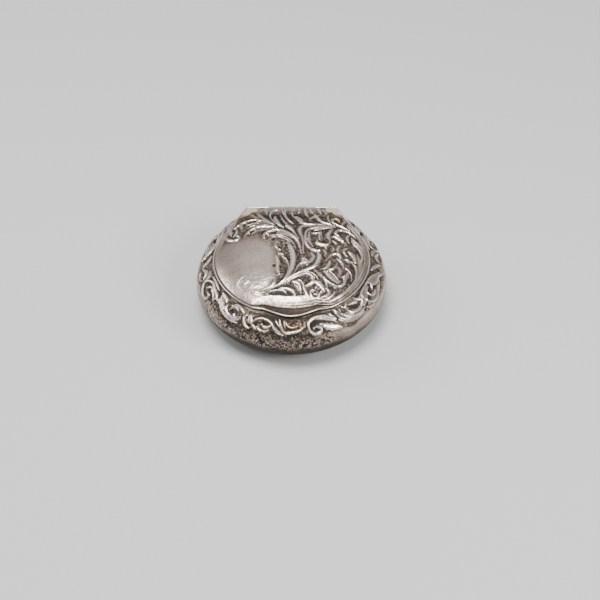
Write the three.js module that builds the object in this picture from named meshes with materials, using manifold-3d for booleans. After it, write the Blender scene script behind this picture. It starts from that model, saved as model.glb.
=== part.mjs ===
// A round silver pill box with a domed lid: two stamped body halves, a bezel, a domed lid on a flat rim
// with a thumb lip, and a seven-knuckle hinge on a wire pin. Millimetres, +Z up, front at -Y,
// origin on the surface the box stands on, under the middle of the body.
import * as THREE from "three";
import { mergeVertices } from "three/addons/utils/BufferGeometryUtils.js";
import Module from "manifold-3d";

const wasm = await Module();
wasm.setup();

// Body
const bellyRadius = 22.5; // the widest ring
const bellyHeight = 7.4; // where the widest ring and the seam between the two body stampings lie
const footRadius = 11.7; // the flat that the box stands on
const seatHeight = 12.6; // the flat land round the mouth, on which the closed lid rests
const landWidth = 1.8; // from the rim's outer edge in to the mouth
const shoulderTurn = THREE.MathUtils.degToRad(71); // how far round its ellipse the shoulder turns to the land
const sheet = 0.5; // thickness of the stamped silver

// Lid, whose plan is a circle drawn out to a straight edge at the back
const shoulderWidth = 4.1; // from the belly in to the lid's edge, round the circle
const backWidth = 3.2; // the same at the straight edge
const rimCentreY = 0.7; // the circle's middle
const hingeHalf = 11.05; // half the length of the straight edge
const rimThickness = 0.6;
const domeInset = 0.35; // bright edge of the rim that shows round the dome's foot
const frontDraw = 0.9; // how much further the dome and the mouth draw in behind the thumb lip
const cornerDraw = 2; // the same at the two back corners, which stay flat
const cornerHalfAngle = THREE.MathUtils.degToRad(14);
const domeRise = 3.3;
const domeFlatness = 2.6; // a higher power keeps the middle flat for longer
const domeShoulder = 0.72; // a lower power makes the foot steeper
const lipReach = 0.55; // how far the thumb lip stands out past the round plan
const lipHalfAngle = THREE.MathUtils.degToRad(33);
const lipEaseShare = 0.6; // share of that angle after which the lip runs out into the circle

// Bezel, the upright strip inside the mouth that the lid closes over
const bezelThickness = 0.5;
const bezelRise = 0.9;
const bezelDepth = 1.7;

// Hinge
const knuckleCount = 7; // odd, so that both end knuckles belong to the body
const knuckleRadius = 0.75;
const pinRadius = 0.4;
const hingeSetIn = 0.4; // from the rim's back edge in to the hinge axis
const gutterWall = 0.5;
const pinOverhang = 0.1; // riveted end of the pin, past the end knuckles

// Clearances
const solderGap = 0.05; // between pieces that are soldered face to face
const shelfGap = 0.2; // hinge shelf to the inside of the shoulder, where solder runs in
const seatGap = 0.05; // between the closed lid and the land
const pinGap = 0.05; // radial, pin to knuckle
const endGap = 0.06; // between neighbouring knuckles
const turnGap = 0.1; // round the lid's knuckles as they turn in the gutter
const bezelGap = 0.15; // lid to bezel, so that the lid's front can swing clear
const channelGap = 0.15; // rim to the ends of the hinge channel

// Facets
const turnSegments = 72;
const bendSegments = 6;
const barrelSides = 20;
const cutMargin = 1; // how far a cutting solid stands past what it cuts

const rimRadius = bellyRadius - shoulderWidth;
const rimBack = bellyRadius - backWidth;
const hingeAxisY = rimBack - hingeSetIn;
const hingeAxisZ = seatHeight + seatGap - turnGap - knuckleRadius;
const rimBottom = seatHeight + seatGap;
const rimTop = rimBottom + rimThickness;
const shelfZ = hingeAxisZ - knuckleRadius - turnGap;
const quarterTurn = Math.PI / 2;

// Direction of the flank that runs from the round plan to the end of the straight edge, as the angle
// of its outward normal. It touches the circle and passes through the corner.
const cornerY = rimBack - rimCentreY;
const flankNormal =
  Math.atan2(cornerY, hingeHalf) - Math.acos(rimRadius / Math.hypot(hingeHalf, cornerY));
const cornerAngle = Math.atan2(rimBack, hingeHalf);
const cornerStation = THREE.MathUtils.degToRad(60); // the lathe station that is moved onto the corner

// Distance from the body's axis to the lid's plan, drawn in by inset, in the direction of angle.
function planRadius(angle, inset) {
  const across = Math.abs(Math.cos(angle));
  const along = Math.sin(angle);
  const radius = rimRadius - inset;
  const folded = Math.atan2(along, across);
  const circle = rimCentreY * along + Math.sqrt(radius ** 2 - (rimCentreY * across) ** 2);
  const touch = Math.atan2(rimCentreY + radius * Math.sin(flankNormal), radius * Math.cos(flankNormal));
  if (folded < touch) return circle;
  const flank = (rimCentreY * Math.sin(flankNormal) + radius) / Math.cos(folded - flankNormal);
  return Math.min(flank, (rimBack - inset) / along);
}

// How far a direction is turned away from the middle of the front.
const awayFromFront = (angle) => Math.abs(Math.atan2(Math.cos(angle), -Math.sin(angle)));

// 1 at the middle of the front, falling to 0 at the ends of the thumb lip.
function frontShare(angle) {
  return 1 - THREE.MathUtils.smoothstep(awayFromFront(angle), lipHalfAngle * lipEaseShare, lipHalfAngle);
}

// 1 at the two back corners, falling to 0 on either side of them.
function cornerShare(angle) {
  const folded = Math.atan2(Math.sin(angle), Math.abs(Math.cos(angle)));
  return 1 - THREE.MathUtils.smoothstep(Math.abs(folded - cornerAngle), 0, cornerHalfAngle);
}

// The plan that the dome's foot, the mouth and the bezel follow.
function innerRadius(angle, inset) {
  return planRadius(angle, inset) - frontDraw * frontShare(angle) - cornerDraw * cornerShare(angle);
}

// The lip is a shallow bow of three quarters of a wave: out at the middle, drawn in at either side.
function lipAt(angle) {
  const wave = 3 * quarterTurn * (awayFromFront(angle) / lipHalfAngle);
  return lipReach * Math.cos(wave) * frontShare(angle);
}

// Turns a profile round the axis, then lets place(angle, u) give each profile point's own radius and
// height, so that every ring follows its own plan. u is the point's number in the profile.
function turned(count, closed, place) {
  const profile = [];
  const points = closed ? count + 1 : count;
  for (let i = 0; i < points; i++) {
    const onAxis = !closed && (i === 0 || i === count - 1);
    profile.push(new THREE.Vector2(onAxis ? 0 : 1, i % count));
  }
  const geometry = new THREE.LatheGeometry(profile, turnSegments).rotateX(quarterTurn);
  const position = geometry.getAttribute("position");
  for (let i = 0; i < position.count; i++) {
    const angle = stationAngle(Math.atan2(position.getY(i), position.getX(i)));
    const offAxis = Math.round(Math.hypot(position.getX(i), position.getY(i)));
    const [radius, height] = place(angle, Math.round(position.getZ(i)));
    position.setXYZ(i, offAxis * radius * Math.cos(angle), offAxis * radius * Math.sin(angle), height);
  }
  return geometry;
}

// Moves the lathe's even stations so that one falls on each end of the straight back edge.
function stationAngle(angle) {
  if (angle <= 0) return angle;
  const folded = angle > quarterTurn ? Math.PI - angle : angle;
  const before = THREE.MathUtils.mapLinear(folded, 0, cornerStation, 0, cornerAngle);
  const after = THREE.MathUtils.mapLinear(folded, cornerStation, quarterTurn, cornerAngle, quarterTurn);
  const moved = folded < cornerStation ? before : after;
  return angle > quarterTurn ? Math.PI - moved : moved;
}

// The shoulder's quarter ellipse from the belly, at share 0, up to the land's edge, at share 1.
function shoulderPoint(angle, share, thickness) {
  const turn = share * shoulderTurn;
  const outer = bellyRadius - thickness;
  const reach = (outer - planRadius(angle, thickness)) / (1 - Math.cos(shoulderTurn));
  const rise = (seatHeight - thickness - bellyHeight) / Math.sin(shoulderTurn);
  return [outer - reach * (1 - Math.cos(turn)), bellyHeight + rise * Math.sin(turn)];
}

function bodyShoulder() {
  const last = bendSegments;
  const place = (angle, u) => {
    if (u <= last) return shoulderPoint(angle, u / last, 0);
    if (u === last + 1) return [innerRadius(angle, landWidth), seatHeight];
    if (u === last + 2) return [innerRadius(angle, landWidth), seatHeight - sheet];
    return shoulderPoint(angle, (2 * last + 3 - u) / last, sheet);
  };
  return turned(2 * last + 4, true, place);
}

// The bowl's quarter ellipse from the foot, at share 0, up to the seam, at share 1.
function bowlPoint(share, thickness) {
  const turn = share * quarterTurn;
  const depth = bellyHeight - solderGap - thickness;
  return [
    footRadius + (bellyRadius - footRadius - thickness) * Math.sin(turn),
    bellyHeight - solderGap - depth * Math.cos(turn),
  ];
}

function baseBowl() {
  const last = bendSegments;
  const place = (angle, u) => {
    if (u === 0) return [0, 0];
    if (u <= last + 1) return bowlPoint((u - 1) / last, 0);
    if (u <= 2 * last + 2) return bowlPoint((2 * last + 2 - u) / last, sheet);
    return [0, sheet];
  };
  return turned(2 * last + 4, false, place);
}

// Height of the dome over the rim at a share of the way out from its middle to its foot.
function domeHeight(share, rise) {
  return rise * (1 - share ** domeFlatness) ** domeShoulder;
}

function lidShell() {
  const last = bendSegments + 2;
  const place = (angle, u) => {
    const inside = u <= last;
    const thickness = inside ? sheet : 0;
    const step = inside ? u : 2 * last + 1 - u;
    const share = Math.sin((step / last) * quarterTurn);
    const radius = share * innerRadius(angle, domeInset + thickness);
    return [radius, rimTop + solderGap + domeHeight(share, domeRise - thickness)];
  };
  return turned(2 * last + 2, false, place);
}

function lidRim() {
  const place = (angle, u) => {
    const inner = innerRadius(angle, landWidth + solderGap - bezelGap);
    const radius = u < 2 ? planRadius(angle, 0) + lipAt(angle) : inner;
    return [radius, u === 0 || u === 3 ? rimBottom : rimTop];
  };
  return turned(4, true, place);
}

function bodyBezel() {
  const place = (angle, u) => {
    const inset = landWidth + solderGap + (u < 2 ? 0 : bezelThickness);
    const low = u === 0 || u === 3;
    return [innerRadius(angle, inset), low ? seatHeight - bezelDepth : seatHeight + bezelRise];
  };
  return turned(4, true, place);
}

// manifold-3d solid of a closed geometry.
function solid(geometry) {
  const bare = new THREE.BufferGeometry();
  bare.setAttribute("position", geometry.getAttribute("position"));
  if (geometry.index) bare.setIndex(geometry.index);
  const merged = mergeVertices(bare, 1e-4);
  const kept = [];
  for (let i = 0; i < merged.index.count; i += 3) {
    const [a, b, c] = [0, 1, 2].map((k) => merged.index.getX(i + k));
    if (a !== b && b !== c && a !== c) kept.push(a, b, c);
  }
  const made = new wasm.Manifold(
    new wasm.Mesh({
      numProp: 3,
      vertProperties: merged.attributes.position.array,
      triVerts: new Uint32Array(kept),
    }),
  );
  if (made.volume() < 0) throw new Error("a profile runs the wrong way round");
  return made;
}

function geometryOf(made) {
  const mesh = made.getMesh();
  const geometry = new THREE.BufferGeometry();
  geometry.setAttribute("position", new THREE.BufferAttribute(mesh.vertProperties, 3));
  geometry.setIndex(new THREE.BufferAttribute(mesh.triVerts, 1));
  return geometry;
}

function block(low, high) {
  const size = low.map((v, i) => high[i] - v);
  const middle = low.map((v, i) => (v + high[i]) / 2);
  return solid(new THREE.BoxGeometry(...size).translate(...middle));
}

// A cylinder along X round the hinge axis.
function rod(radius, from, to) {
  return solid(
    new THREE.CylinderGeometry(radius, radius, to - from, barrelSides)
      .rotateZ(quarterTurn)
      .translate((from + to) / 2, hingeAxisY, hingeAxisZ),
  );
}

// The channel across the back of the shoulder, down to just under the top of the hinge shelf.
function hingeChannel() {
  const half = hingeHalf + channelGap;
  const front = rimBack - landWidth - solderGap;
  return block([-half, front, shelfZ - solderGap], [half, bellyRadius + cutMargin, seatHeight + cutMargin]);
}

// An L-section strip under the hinge: an upright wall along the mouth, which stands in the channel, and a
// shelf behind it, trimmed to the inside of the shoulder.
function hingeGutter() {
  const half = hingeHalf + channelGap - solderGap;
  const wallFront = rimBack - landWidth;
  const wallBack = hingeAxisY - knuckleRadius - turnGap;
  const wall = block([-half, wallFront, shelfZ], [half, wallBack, seatHeight]);
  const shelf = block([-half, wallFront, shelfZ - gutterWall], [half, bellyRadius, shelfZ]);
  const last = bendSegments;
  const inside = turned(last + 3, false, (angle, u) => {
    if (u === 0) return [0, bellyHeight];
    if (u <= last + 1) return shoulderPoint(angle, (u - 1) / last, sheet + shelfGap);
    return [0, seatHeight - sheet - shelfGap];
  });
  return wall.add(shelf.intersect(solid(inside)));
}

const knuckleLength = (2 * hingeHalf - (knuckleCount - 1) * endGap) / knuckleCount;

// One tube of the hinge, with the solder that fills the corner between it and the strip that holds it.
function knuckle(number, onLid) {
  const from = -hingeHalf + number * (knuckleLength + endGap);
  const to = from + knuckleLength;
  const lidFill = [
    [from, hingeAxisY - hingeSetIn, hingeAxisZ + pinRadius],
    [to, hingeAxisY + hingeSetIn, rimBottom - solderGap],
  ];
  const bodyFill = [
    [from, hingeAxisY - knuckleRadius - turnGap + solderGap, shelfZ + solderGap],
    [to, hingeAxisY, hingeAxisZ],
  ];
  const fill = block(...(onLid ? lidFill : bodyFill));
  const bore = rod(pinRadius + pinGap, from - cutMargin, to + cutMargin);
  return rod(knuckleRadius, from, to).add(fill).subtract(bore);
}

const silver = (shade, roughness) =>
  new THREE.MeshStandardMaterial({ color: new THREE.Color(shade), roughness, metalness: 1 });
const chased = silver("#b9b0a6", 0.34);
const polished = silver("#c4bdb5", 0.24);
const wire = silver("#a8a29a", 0.3);
const gilt = silver("#d3a95c", 0.28);

const pillBox = new THREE.Group();
const lid = new THREE.Group();
pillBox.add(lid);

function addPiece(group, name, geometry, material) {
  const mesh = new THREE.Mesh(geometry, material);
  mesh.name = name;
  group.add(mesh);
}

addPiece(pillBox, "base_bowl", baseBowl(), polished);
addPiece(pillBox, "body_shoulder", geometryOf(solid(bodyShoulder()).subtract(hingeChannel())), chased);
addPiece(pillBox, "body_bezel", bodyBezel(), gilt);
addPiece(pillBox, "hinge_gutter", geometryOf(hingeGutter()), polished);
addPiece(lid, "lid_shell", lidShell(), chased);
addPiece(lid, "lid_rim", lidRim(), polished);
for (let i = 0; i < knuckleCount; i++) {
  const onLid = i % 2 === 1;
  const name = (onLid ? "lid_knuckle_" : "body_knuckle_") + (Math.floor(i / 2) + 1);
  addPiece(onLid ? lid : pillBox, name, geometryOf(knuckle(i, onLid)), polished);
}
const pinHalf = hingeHalf + pinOverhang;
addPiece(pillBox, "hinge_pin", geometryOf(rod(pinRadius, -pinHalf, pinHalf)), wire);

export default pillBox;
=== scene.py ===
import math
import bpy
import numpy as np
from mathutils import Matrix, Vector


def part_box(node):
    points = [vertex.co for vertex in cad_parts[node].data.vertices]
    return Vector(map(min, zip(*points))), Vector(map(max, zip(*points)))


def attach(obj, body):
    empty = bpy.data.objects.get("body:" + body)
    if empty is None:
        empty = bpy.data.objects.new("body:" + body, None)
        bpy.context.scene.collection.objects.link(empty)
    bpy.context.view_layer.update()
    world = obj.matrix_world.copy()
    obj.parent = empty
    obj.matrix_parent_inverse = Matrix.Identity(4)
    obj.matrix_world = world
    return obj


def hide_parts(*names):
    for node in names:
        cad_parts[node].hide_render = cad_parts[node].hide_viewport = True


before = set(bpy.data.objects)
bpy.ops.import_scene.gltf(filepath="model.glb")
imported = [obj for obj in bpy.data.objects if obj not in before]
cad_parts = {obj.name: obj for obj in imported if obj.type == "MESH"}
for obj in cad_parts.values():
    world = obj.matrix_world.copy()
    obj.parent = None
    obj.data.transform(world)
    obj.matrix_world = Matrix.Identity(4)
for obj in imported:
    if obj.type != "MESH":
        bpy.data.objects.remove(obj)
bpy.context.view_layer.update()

mm = 0.001               # the frame is in metres, and the sizes below are in millimetres


def cadBox(node):
    low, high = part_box(node)
    return np.array(low) / mm, np.array(high) / mm


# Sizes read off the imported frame.
bowlHigh = cadBox("base_bowl")[1]
shoulderLow, shoulderHigh = cadBox("body_shoulder")
rimLow, rimHigh = cadBox("lid_rim")
shellHigh = cadBox("lid_shell")[1]
bezelLow, bezelHigh = cadBox("body_bezel")
pinLow, pinHigh = cadBox("hinge_pin")
endKnuckleLow = cadBox("body_knuckle_1")[0]
gutterLow, gutterHigh = cadBox("hinge_gutter")
axisY, axisZ = (pinLow[1:] + pinHigh[1:]) / 2

box = {
    "bellyRadius": bowlHigh[0],
    "bellyHeight": shoulderLow[2],
    "footRadius": 11.7,
    "seatHeight": shoulderHigh[2],
    "shoulderTurn": math.radians(71),   # how far round its ellipse the shoulder turns to the land
    "landWidth": 1.8,
    "sheet": 0.5,
    "solderGap": 0.05,
    "channelRise": 0.45,                # the hinge channel's floor over the gutter's lowest point
    "channelSpan": 62.4,                # degrees of the shoulder whose columns end on the hinge channel
}
lid = {
    "radius": rimHigh[0],
    "centreY": 0.7,
    "back": rimHigh[1],
    "hingeHalf": -endKnuckleLow[0],
    "rimBottom": rimLow[2],
    "rimTop": rimHigh[2],
    "foot": rimHigh[2] + 0.02,
    "rise": shellHigh[2] - rimHigh[2] - 0.02,
    "inset": 0.35,                      # bright edge of the rim that shows round the dome's foot
    "frontDraw": 0.9,                   # how far the mouth is drawn in behind the lip
    "footDraw": 0.5,                    # and the dome's foot further than that
    "cornerDraw": 2.0,                  # how far both are drawn in at the corners by the hinge
    "cornerHalfAngle": math.radians(14),
    "lipReach": 0.55,
    "lipHalfAngle": math.radians(33),
    "lipLift": 0.06,                    # how far the lip's edge curls up at its middle
    "flatness": 2.5,                    # the dome is (1 - share to the power flatness) to the power steepness
    "steepness": 0.84,
}


def ease(x, low, high):  # 0 below low and 1 above high, with a smooth S between them
    t = np.clip((x - low) / (high - low), 0, 1)
    return t * t * (3 - 2 * t)


def bell(offset, width):  # 1 at the middle, falling away on both sides as a Gaussian
    return np.exp(-((offset / width) ** 2))


def wave(turns):  # swings from 1 to 0 and back once in each turn
    return 0.5 + 0.5 * np.cos(2 * math.pi * turns)


def arcShare(degrees, middle, full, none):  # 1 within full degrees of the middle and 0 past none
    return 1 - ease(np.abs((degrees - middle + 180) % 360 - 180), full, none)


# Value noise: random heights on a square lattice of the given cell, eased between its four corners.
def cloud(x, y, cell, seed):
    count = 97
    lattice = np.random.default_rng(seed).random((count, count))
    gx, gy = x / cell, y / cell
    ix, iy = np.floor(gx).astype(int), np.floor(gy).astype(int)
    fx, fy = ease(gx - ix, 0, 1), ease(gy - iy, 0, 1)
    ix, iy = ix % count, iy % count
    jx, jy = (ix + 1) % count, (iy + 1) % count
    near = lattice[ix, iy] * (1 - fx) + lattice[jx, iy] * fx
    far = lattice[ix, jy] * (1 - fx) + lattice[jx, jy] * fx
    return near * (1 - fy) + far * fy


pitting = {
    "pit": (0.26, 0.7),            # size in millimetres and weight of the noise that makes single pits
    "patch": (1.6, 0.35),          # and of the two clouds that gather them
    "cluster": (0.7, 0.25),
    "depths": (0.78, 0.95),        # there is a pit where their sum passes these
}


# Small pits that gather in patches, 1 in a pit and 0 on sound metal: a weighted sum of three noises, cut off.
def pitField(x, y, pitSeed, patchSeed, clusterSeed):
    total = 0
    for key, seed in (("pit", pitSeed), ("patch", patchSeed), ("cluster", clusterSeed)):
        size, weight = pitting[key]
        total = total + weight * cloud(x, y, size, seed)
    return ease(total, *pitting["depths"])


# Running mean over a square window, done three times so that it is close to a Gaussian.
def blur(field, radius, wrap=False):
    width = 2 * radius + 1
    for _ in range(3):
        for axis in (0, 1):
            pad = [(0, 0), (0, 0)]
            pad[axis] = (radius + 1, radius)
            mode = "wrap" if wrap and axis == 1 else "edge"
            total = np.cumsum(np.pad(field, pad, mode=mode), axis=axis)
            size = field.shape[axis]
            ends = np.take(total, range(width, width + size), axis=axis)
            starts = np.take(total, range(size), axis=axis)
            field = (ends - starts) / width
    return field


# Catmull-Rom: each span is the cubic whose end slopes are half the chord between the neighbouring points.
def curveThrough(points, steps):
    p = np.asarray(points, float)
    p = np.vstack([2 * p[0] - p[1], p, 2 * p[-1] - p[-2]])
    spans = len(points) - 1
    t = np.linspace(0, spans, steps * spans + 1)
    i = np.minimum(t.astype(int), spans - 1)
    f = (t - i)[:, None]
    a, b, c, d = p[i], p[i + 1], p[i + 2], p[i + 3]
    return 0.5 * (2 * b + (c - a) * f + (2 * a - 5 * b + 4 * c - d) * f**2 + (3 * b - a - 3 * c + d) * f**3)


chasing = {
    "steps": 10,                   # places worked out on each span of a stroke
    "roundness": 1.2,
    "leafHalfWidth": (0.5, 0.75),  # a stroke turns from a plain stem to a leaf between these half widths
    "leafHeight": 0.31,            # but only if it is higher than this
    "notchEvery": 1.15,            # nicks in a leaf's edge, along it
    "notchShare": 0.2,             # and their share of its half width
    "ribShare": 0.42,              # share of the height that the sunk midrib takes away
    "ribWidth": 0.2,
    "veinEvery": 0.6,
    "veinShare": 0.16,
    "veinSlant": 0.9,              # how far a vein runs back along the leaf for each millimetre across it
}


# One chased stroke: s runs from -1 to 1 across it, and its height is (1 - s*s) to the power of its roundness.
# High strokes that are wide enough to be leaves get a sunk midrib, slanting veins and notched edges.
def strokeHeight(x, y, path, halfWidths, height):
    line = curveThrough(path, chasing["steps"])
    slope = np.gradient(line, axis=0)
    step = np.linalg.norm(slope, axis=1)
    slope /= step[:, None]
    wide = np.interp(np.linspace(0, 1, len(line)), np.linspace(0, 1, len(halfWidths)), halfWidths)
    reach = wide.max()
    out = np.zeros(x.shape)
    near = (x > line[:, 0].min() - reach) & (x < line[:, 0].max() + reach)
    near &= (y > line[:, 1].min() - reach) & (y < line[:, 1].max() + reach)
    px, py = x[near], y[near]
    k = ((px[:, None] - line[:, 0]) ** 2 + (py[:, None] - line[:, 1]) ** 2).argmin(1)
    dx, dy = px - line[k, 0], py - line[k, 1]
    along = dx * slope[k, 0] + dy * slope[k, 1]
    across = dy * slope[k, 0] - dx * slope[k, 1]
    past = ((k == 0) & (along < 0)) | ((k == len(line) - 1) & (along > 0))
    across = np.where(past, np.hypot(dx, dy) * np.where(across < 0, -1, 1), across)
    place = np.clip(k + along / step[k], 0, len(line) - 1)
    half = np.interp(place, np.arange(len(line)), wide)
    run = np.interp(place, np.arange(len(line)), np.cumsum(step))
    leafy = ease(half, *chasing["leafHalfWidth"]) * (height > chasing["leafHeight"])
    notch = chasing["notchShare"] * leafy * wave(run / chasing["notchEvery"])
    s = across / (half * (1 - notch))
    rib = chasing["ribShare"] * bell(s, chasing["ribWidth"])
    slanted = run - chasing["veinSlant"] * np.abs(across)
    vein = chasing["veinShare"] * wave(slanted / chasing["veinEvery"]) * np.abs(s)
    out[near] = height * np.clip(1 - s * s, 0, 1) ** chasing["roundness"] * (1 - leafy * (rib + vein))
    return out


# The highest stroke at each place. A stroke is its height, its half widths and the points it runs through.
def strokeField(x, y, strokes, spread):
    relief = np.zeros(x.shape)
    for height, halfWidths, path in strokes:
        relief = np.maximum(relief, strokeHeight(x, y, path, [spread * w for w in halfWidths], height))
    return relief


rubbing = {
    "middle": 0.49,
    "near": 3.1,                   # tone for each millimetre above the mean height close by
    "wide": 1.2,                   # and above the mean height four times as far round
    "plain": 0.16,
    "crestHeight": (0.14, 0.4),    # strokes are rubbed bright between these heights
}


# Tone, 0 in the hollows and 1 on the ridges: it rises with how far a point stands above the mean height
# round it, on plain metal, and by "crest" on the rubbed tops of high strokes.
def toneOf(relief, plain, strokes, reach, crest, wrap=False):
    near = relief - blur(relief, reach, wrap)
    wide = relief - blur(relief, reach * 4, wrap)
    tone = rubbing["middle"] + rubbing["near"] * near + rubbing["wide"] * wide + rubbing["plain"] * plain
    tone += crest * ease(strokes, *rubbing["crestHeight"])
    return np.clip(tone, 0.02, 1)


# The lid's plan, as a distance from the axis: a circle drawn out by two tangents to a straight back edge.
def planRadius(angle, inset):
    corner = lid["back"] - lid["centreY"]
    radius = lid["radius"] - inset
    lean = math.acos(lid["radius"] / math.hypot(lid["hingeHalf"], corner))
    normal = math.atan2(corner, lid["hingeHalf"]) - lean
    across, along = np.abs(np.cos(angle)), np.sin(angle)
    folded = np.arctan2(along, across)
    circle = lid["centreY"] * along + np.sqrt(radius**2 - (lid["centreY"] * across) ** 2)
    touch = math.atan2(lid["centreY"] + radius * math.sin(normal), radius * math.cos(normal))
    flank = (lid["centreY"] * math.sin(normal) + radius) / np.cos(folded - normal)
    back = (lid["back"] - inset) / np.maximum(along, 1e-6)
    return np.where(folded < touch, circle, np.minimum(flank, back))


def awayFromFront(angle):
    return np.abs(np.arctan2(np.cos(angle), -np.sin(angle)))


def frontShare(angle):  # 1 over the middle of the lip and 0 past its ends
    return 1 - ease(awayFromFront(angle), 0.6 * lid["lipHalfAngle"], lid["lipHalfAngle"])


def innerRadius(angle, inset):  # the plan drawn in behind the lip and at the two back corners
    corner = math.atan2(lid["back"], lid["hingeHalf"])
    folded = np.arctan2(np.sin(angle), np.abs(np.cos(angle)))
    cornerShare = 1 - ease(np.abs(folded - corner), 0, lid["cornerHalfAngle"])
    return planRadius(angle, inset) - lid["frontDraw"] * frontShare(angle) - lid["cornerDraw"] * cornerShare


def domeFoot(angle, inset):  # the dome's foot, set further back above the lip
    return innerRadius(angle, inset) - lid["footDraw"] * frontShare(angle)


def lipOut(angle):  # three quarters of a wave: out at the middle, drawn in at either side
    turn = 1.5 * math.pi * awayFromFront(angle) / lid["lipHalfAngle"]
    return lid["lipReach"] * np.cos(turn) * frontShare(angle)


def gridFaces(rows, columns, wrapRows=False, wrapColumns=False):
    index = np.arange(rows * columns).reshape(rows, columns)
    if wrapRows:
        index = np.vstack([index, index[:1]])
    if wrapColumns:
        index = np.hstack([index, index[:, :1]])
    return np.stack([index[:-1, :-1], index[:-1, 1:], index[1:, 1:], index[1:, :-1]], -1).reshape(-1, 4)


def fanFaces(ring, centre, reverse=False):
    following = np.roll(ring, -1)
    faces = np.stack([ring, following, np.full(len(ring), centre)], -1)
    return faces[:, ::-1] if reverse else faces


def endFans(rings, last):  # fans that close a tube of rings to the last two points of its mesh
    return np.vstack([fanFaces(rings[0], last - 1, reverse=True), fanFaces(rings[-1], last)])


def pointsAt(radius, angle, z):  # rows of points from their distance, angle and height
    return np.stack([radius * np.cos(angle), radius * np.sin(angle), z + 0 * radius], -1).reshape(-1, 3)


# Puts whole arrays into a mesh: the quads, then any other faces. Attributes are one value for each vertex,
# and backing is the number of each face's material.
def addPiece(name, points, quads, body, nodes, materials, others=(), attributes=None, backing=None,
             crease=50):
    mesh = bpy.data.meshes.new(name)
    faces = np.asarray(quads).tolist() + [list(face) for face in others]
    mesh.from_pydata((points * mm).tolist(), [], faces)
    mesh.update()
    mesh.polygons.foreach_set("use_smooth", np.ones(len(mesh.polygons), bool))
    for key, values in (attributes or {}).items():
        layer = mesh.attributes.new(key, "FLOAT", "POINT")
        layer.data.foreach_set("value", np.asarray(values, np.float32).ravel())
    for material in materials:
        mesh.materials.append(material)
    if backing is not None:
        mesh.polygons.foreach_set("material_index", backing.astype(np.int32))
    mesh.set_sharp_from_angle(angle=math.radians(crease))
    mesh.update()
    piece = bpy.data.objects.new(name, mesh)
    bpy.context.scene.collection.objects.link(piece)
    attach(piece, body)
    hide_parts(*nodes)


# One small function adds a node: inputs are plain values or the sockets that feed them.
def addNode(tree, kind, inputs=None, **settings):
    made = tree.nodes.new(kind)
    for key, value in settings.items():
        setattr(made, key, value)
    for key, value in (inputs or {}).items():
        if isinstance(value, bpy.types.NodeSocket):
            tree.links.new(value, made.inputs[key])
        else:
            made.inputs[key].default_value = value
    return made


def linear(hexColour):
    channels = [int(hexColour[i:i + 2], 16) / 255 for i in (1, 3, 5)]
    return [c / 12.92 if c <= 0.04045 else ((c + 0.055) / 1.055) ** 2.4 for c in channels] + [1.0]


def setRamp(ramp, stops):
    elements = ramp.color_ramp.elements
    while len(elements) < len(stops):
        elements.new(0.5)
    for element, (place, colour) in zip(elements, stops):
        element.position = place
        element.color = linear(colour) if isinstance(colour, str) else (colour, colour, colour, 1)


# What all the silver finishes share.
silver = {
    "toning": "#c59c58",           # golden tarnish where the attribute "warm" is 1
    "wipedDegrees": 38,            # the way the box was wiped, seen from above
    "wipedStretch": 14.0,          # how many times longer than wide a scratch is
    "wipedGloss": 0.05,
    "pitMm": 0.26,
    "pitTone": 0.85,               # how much darker a corroded pit is
    "bumpMm": 0.04,
}


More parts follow.
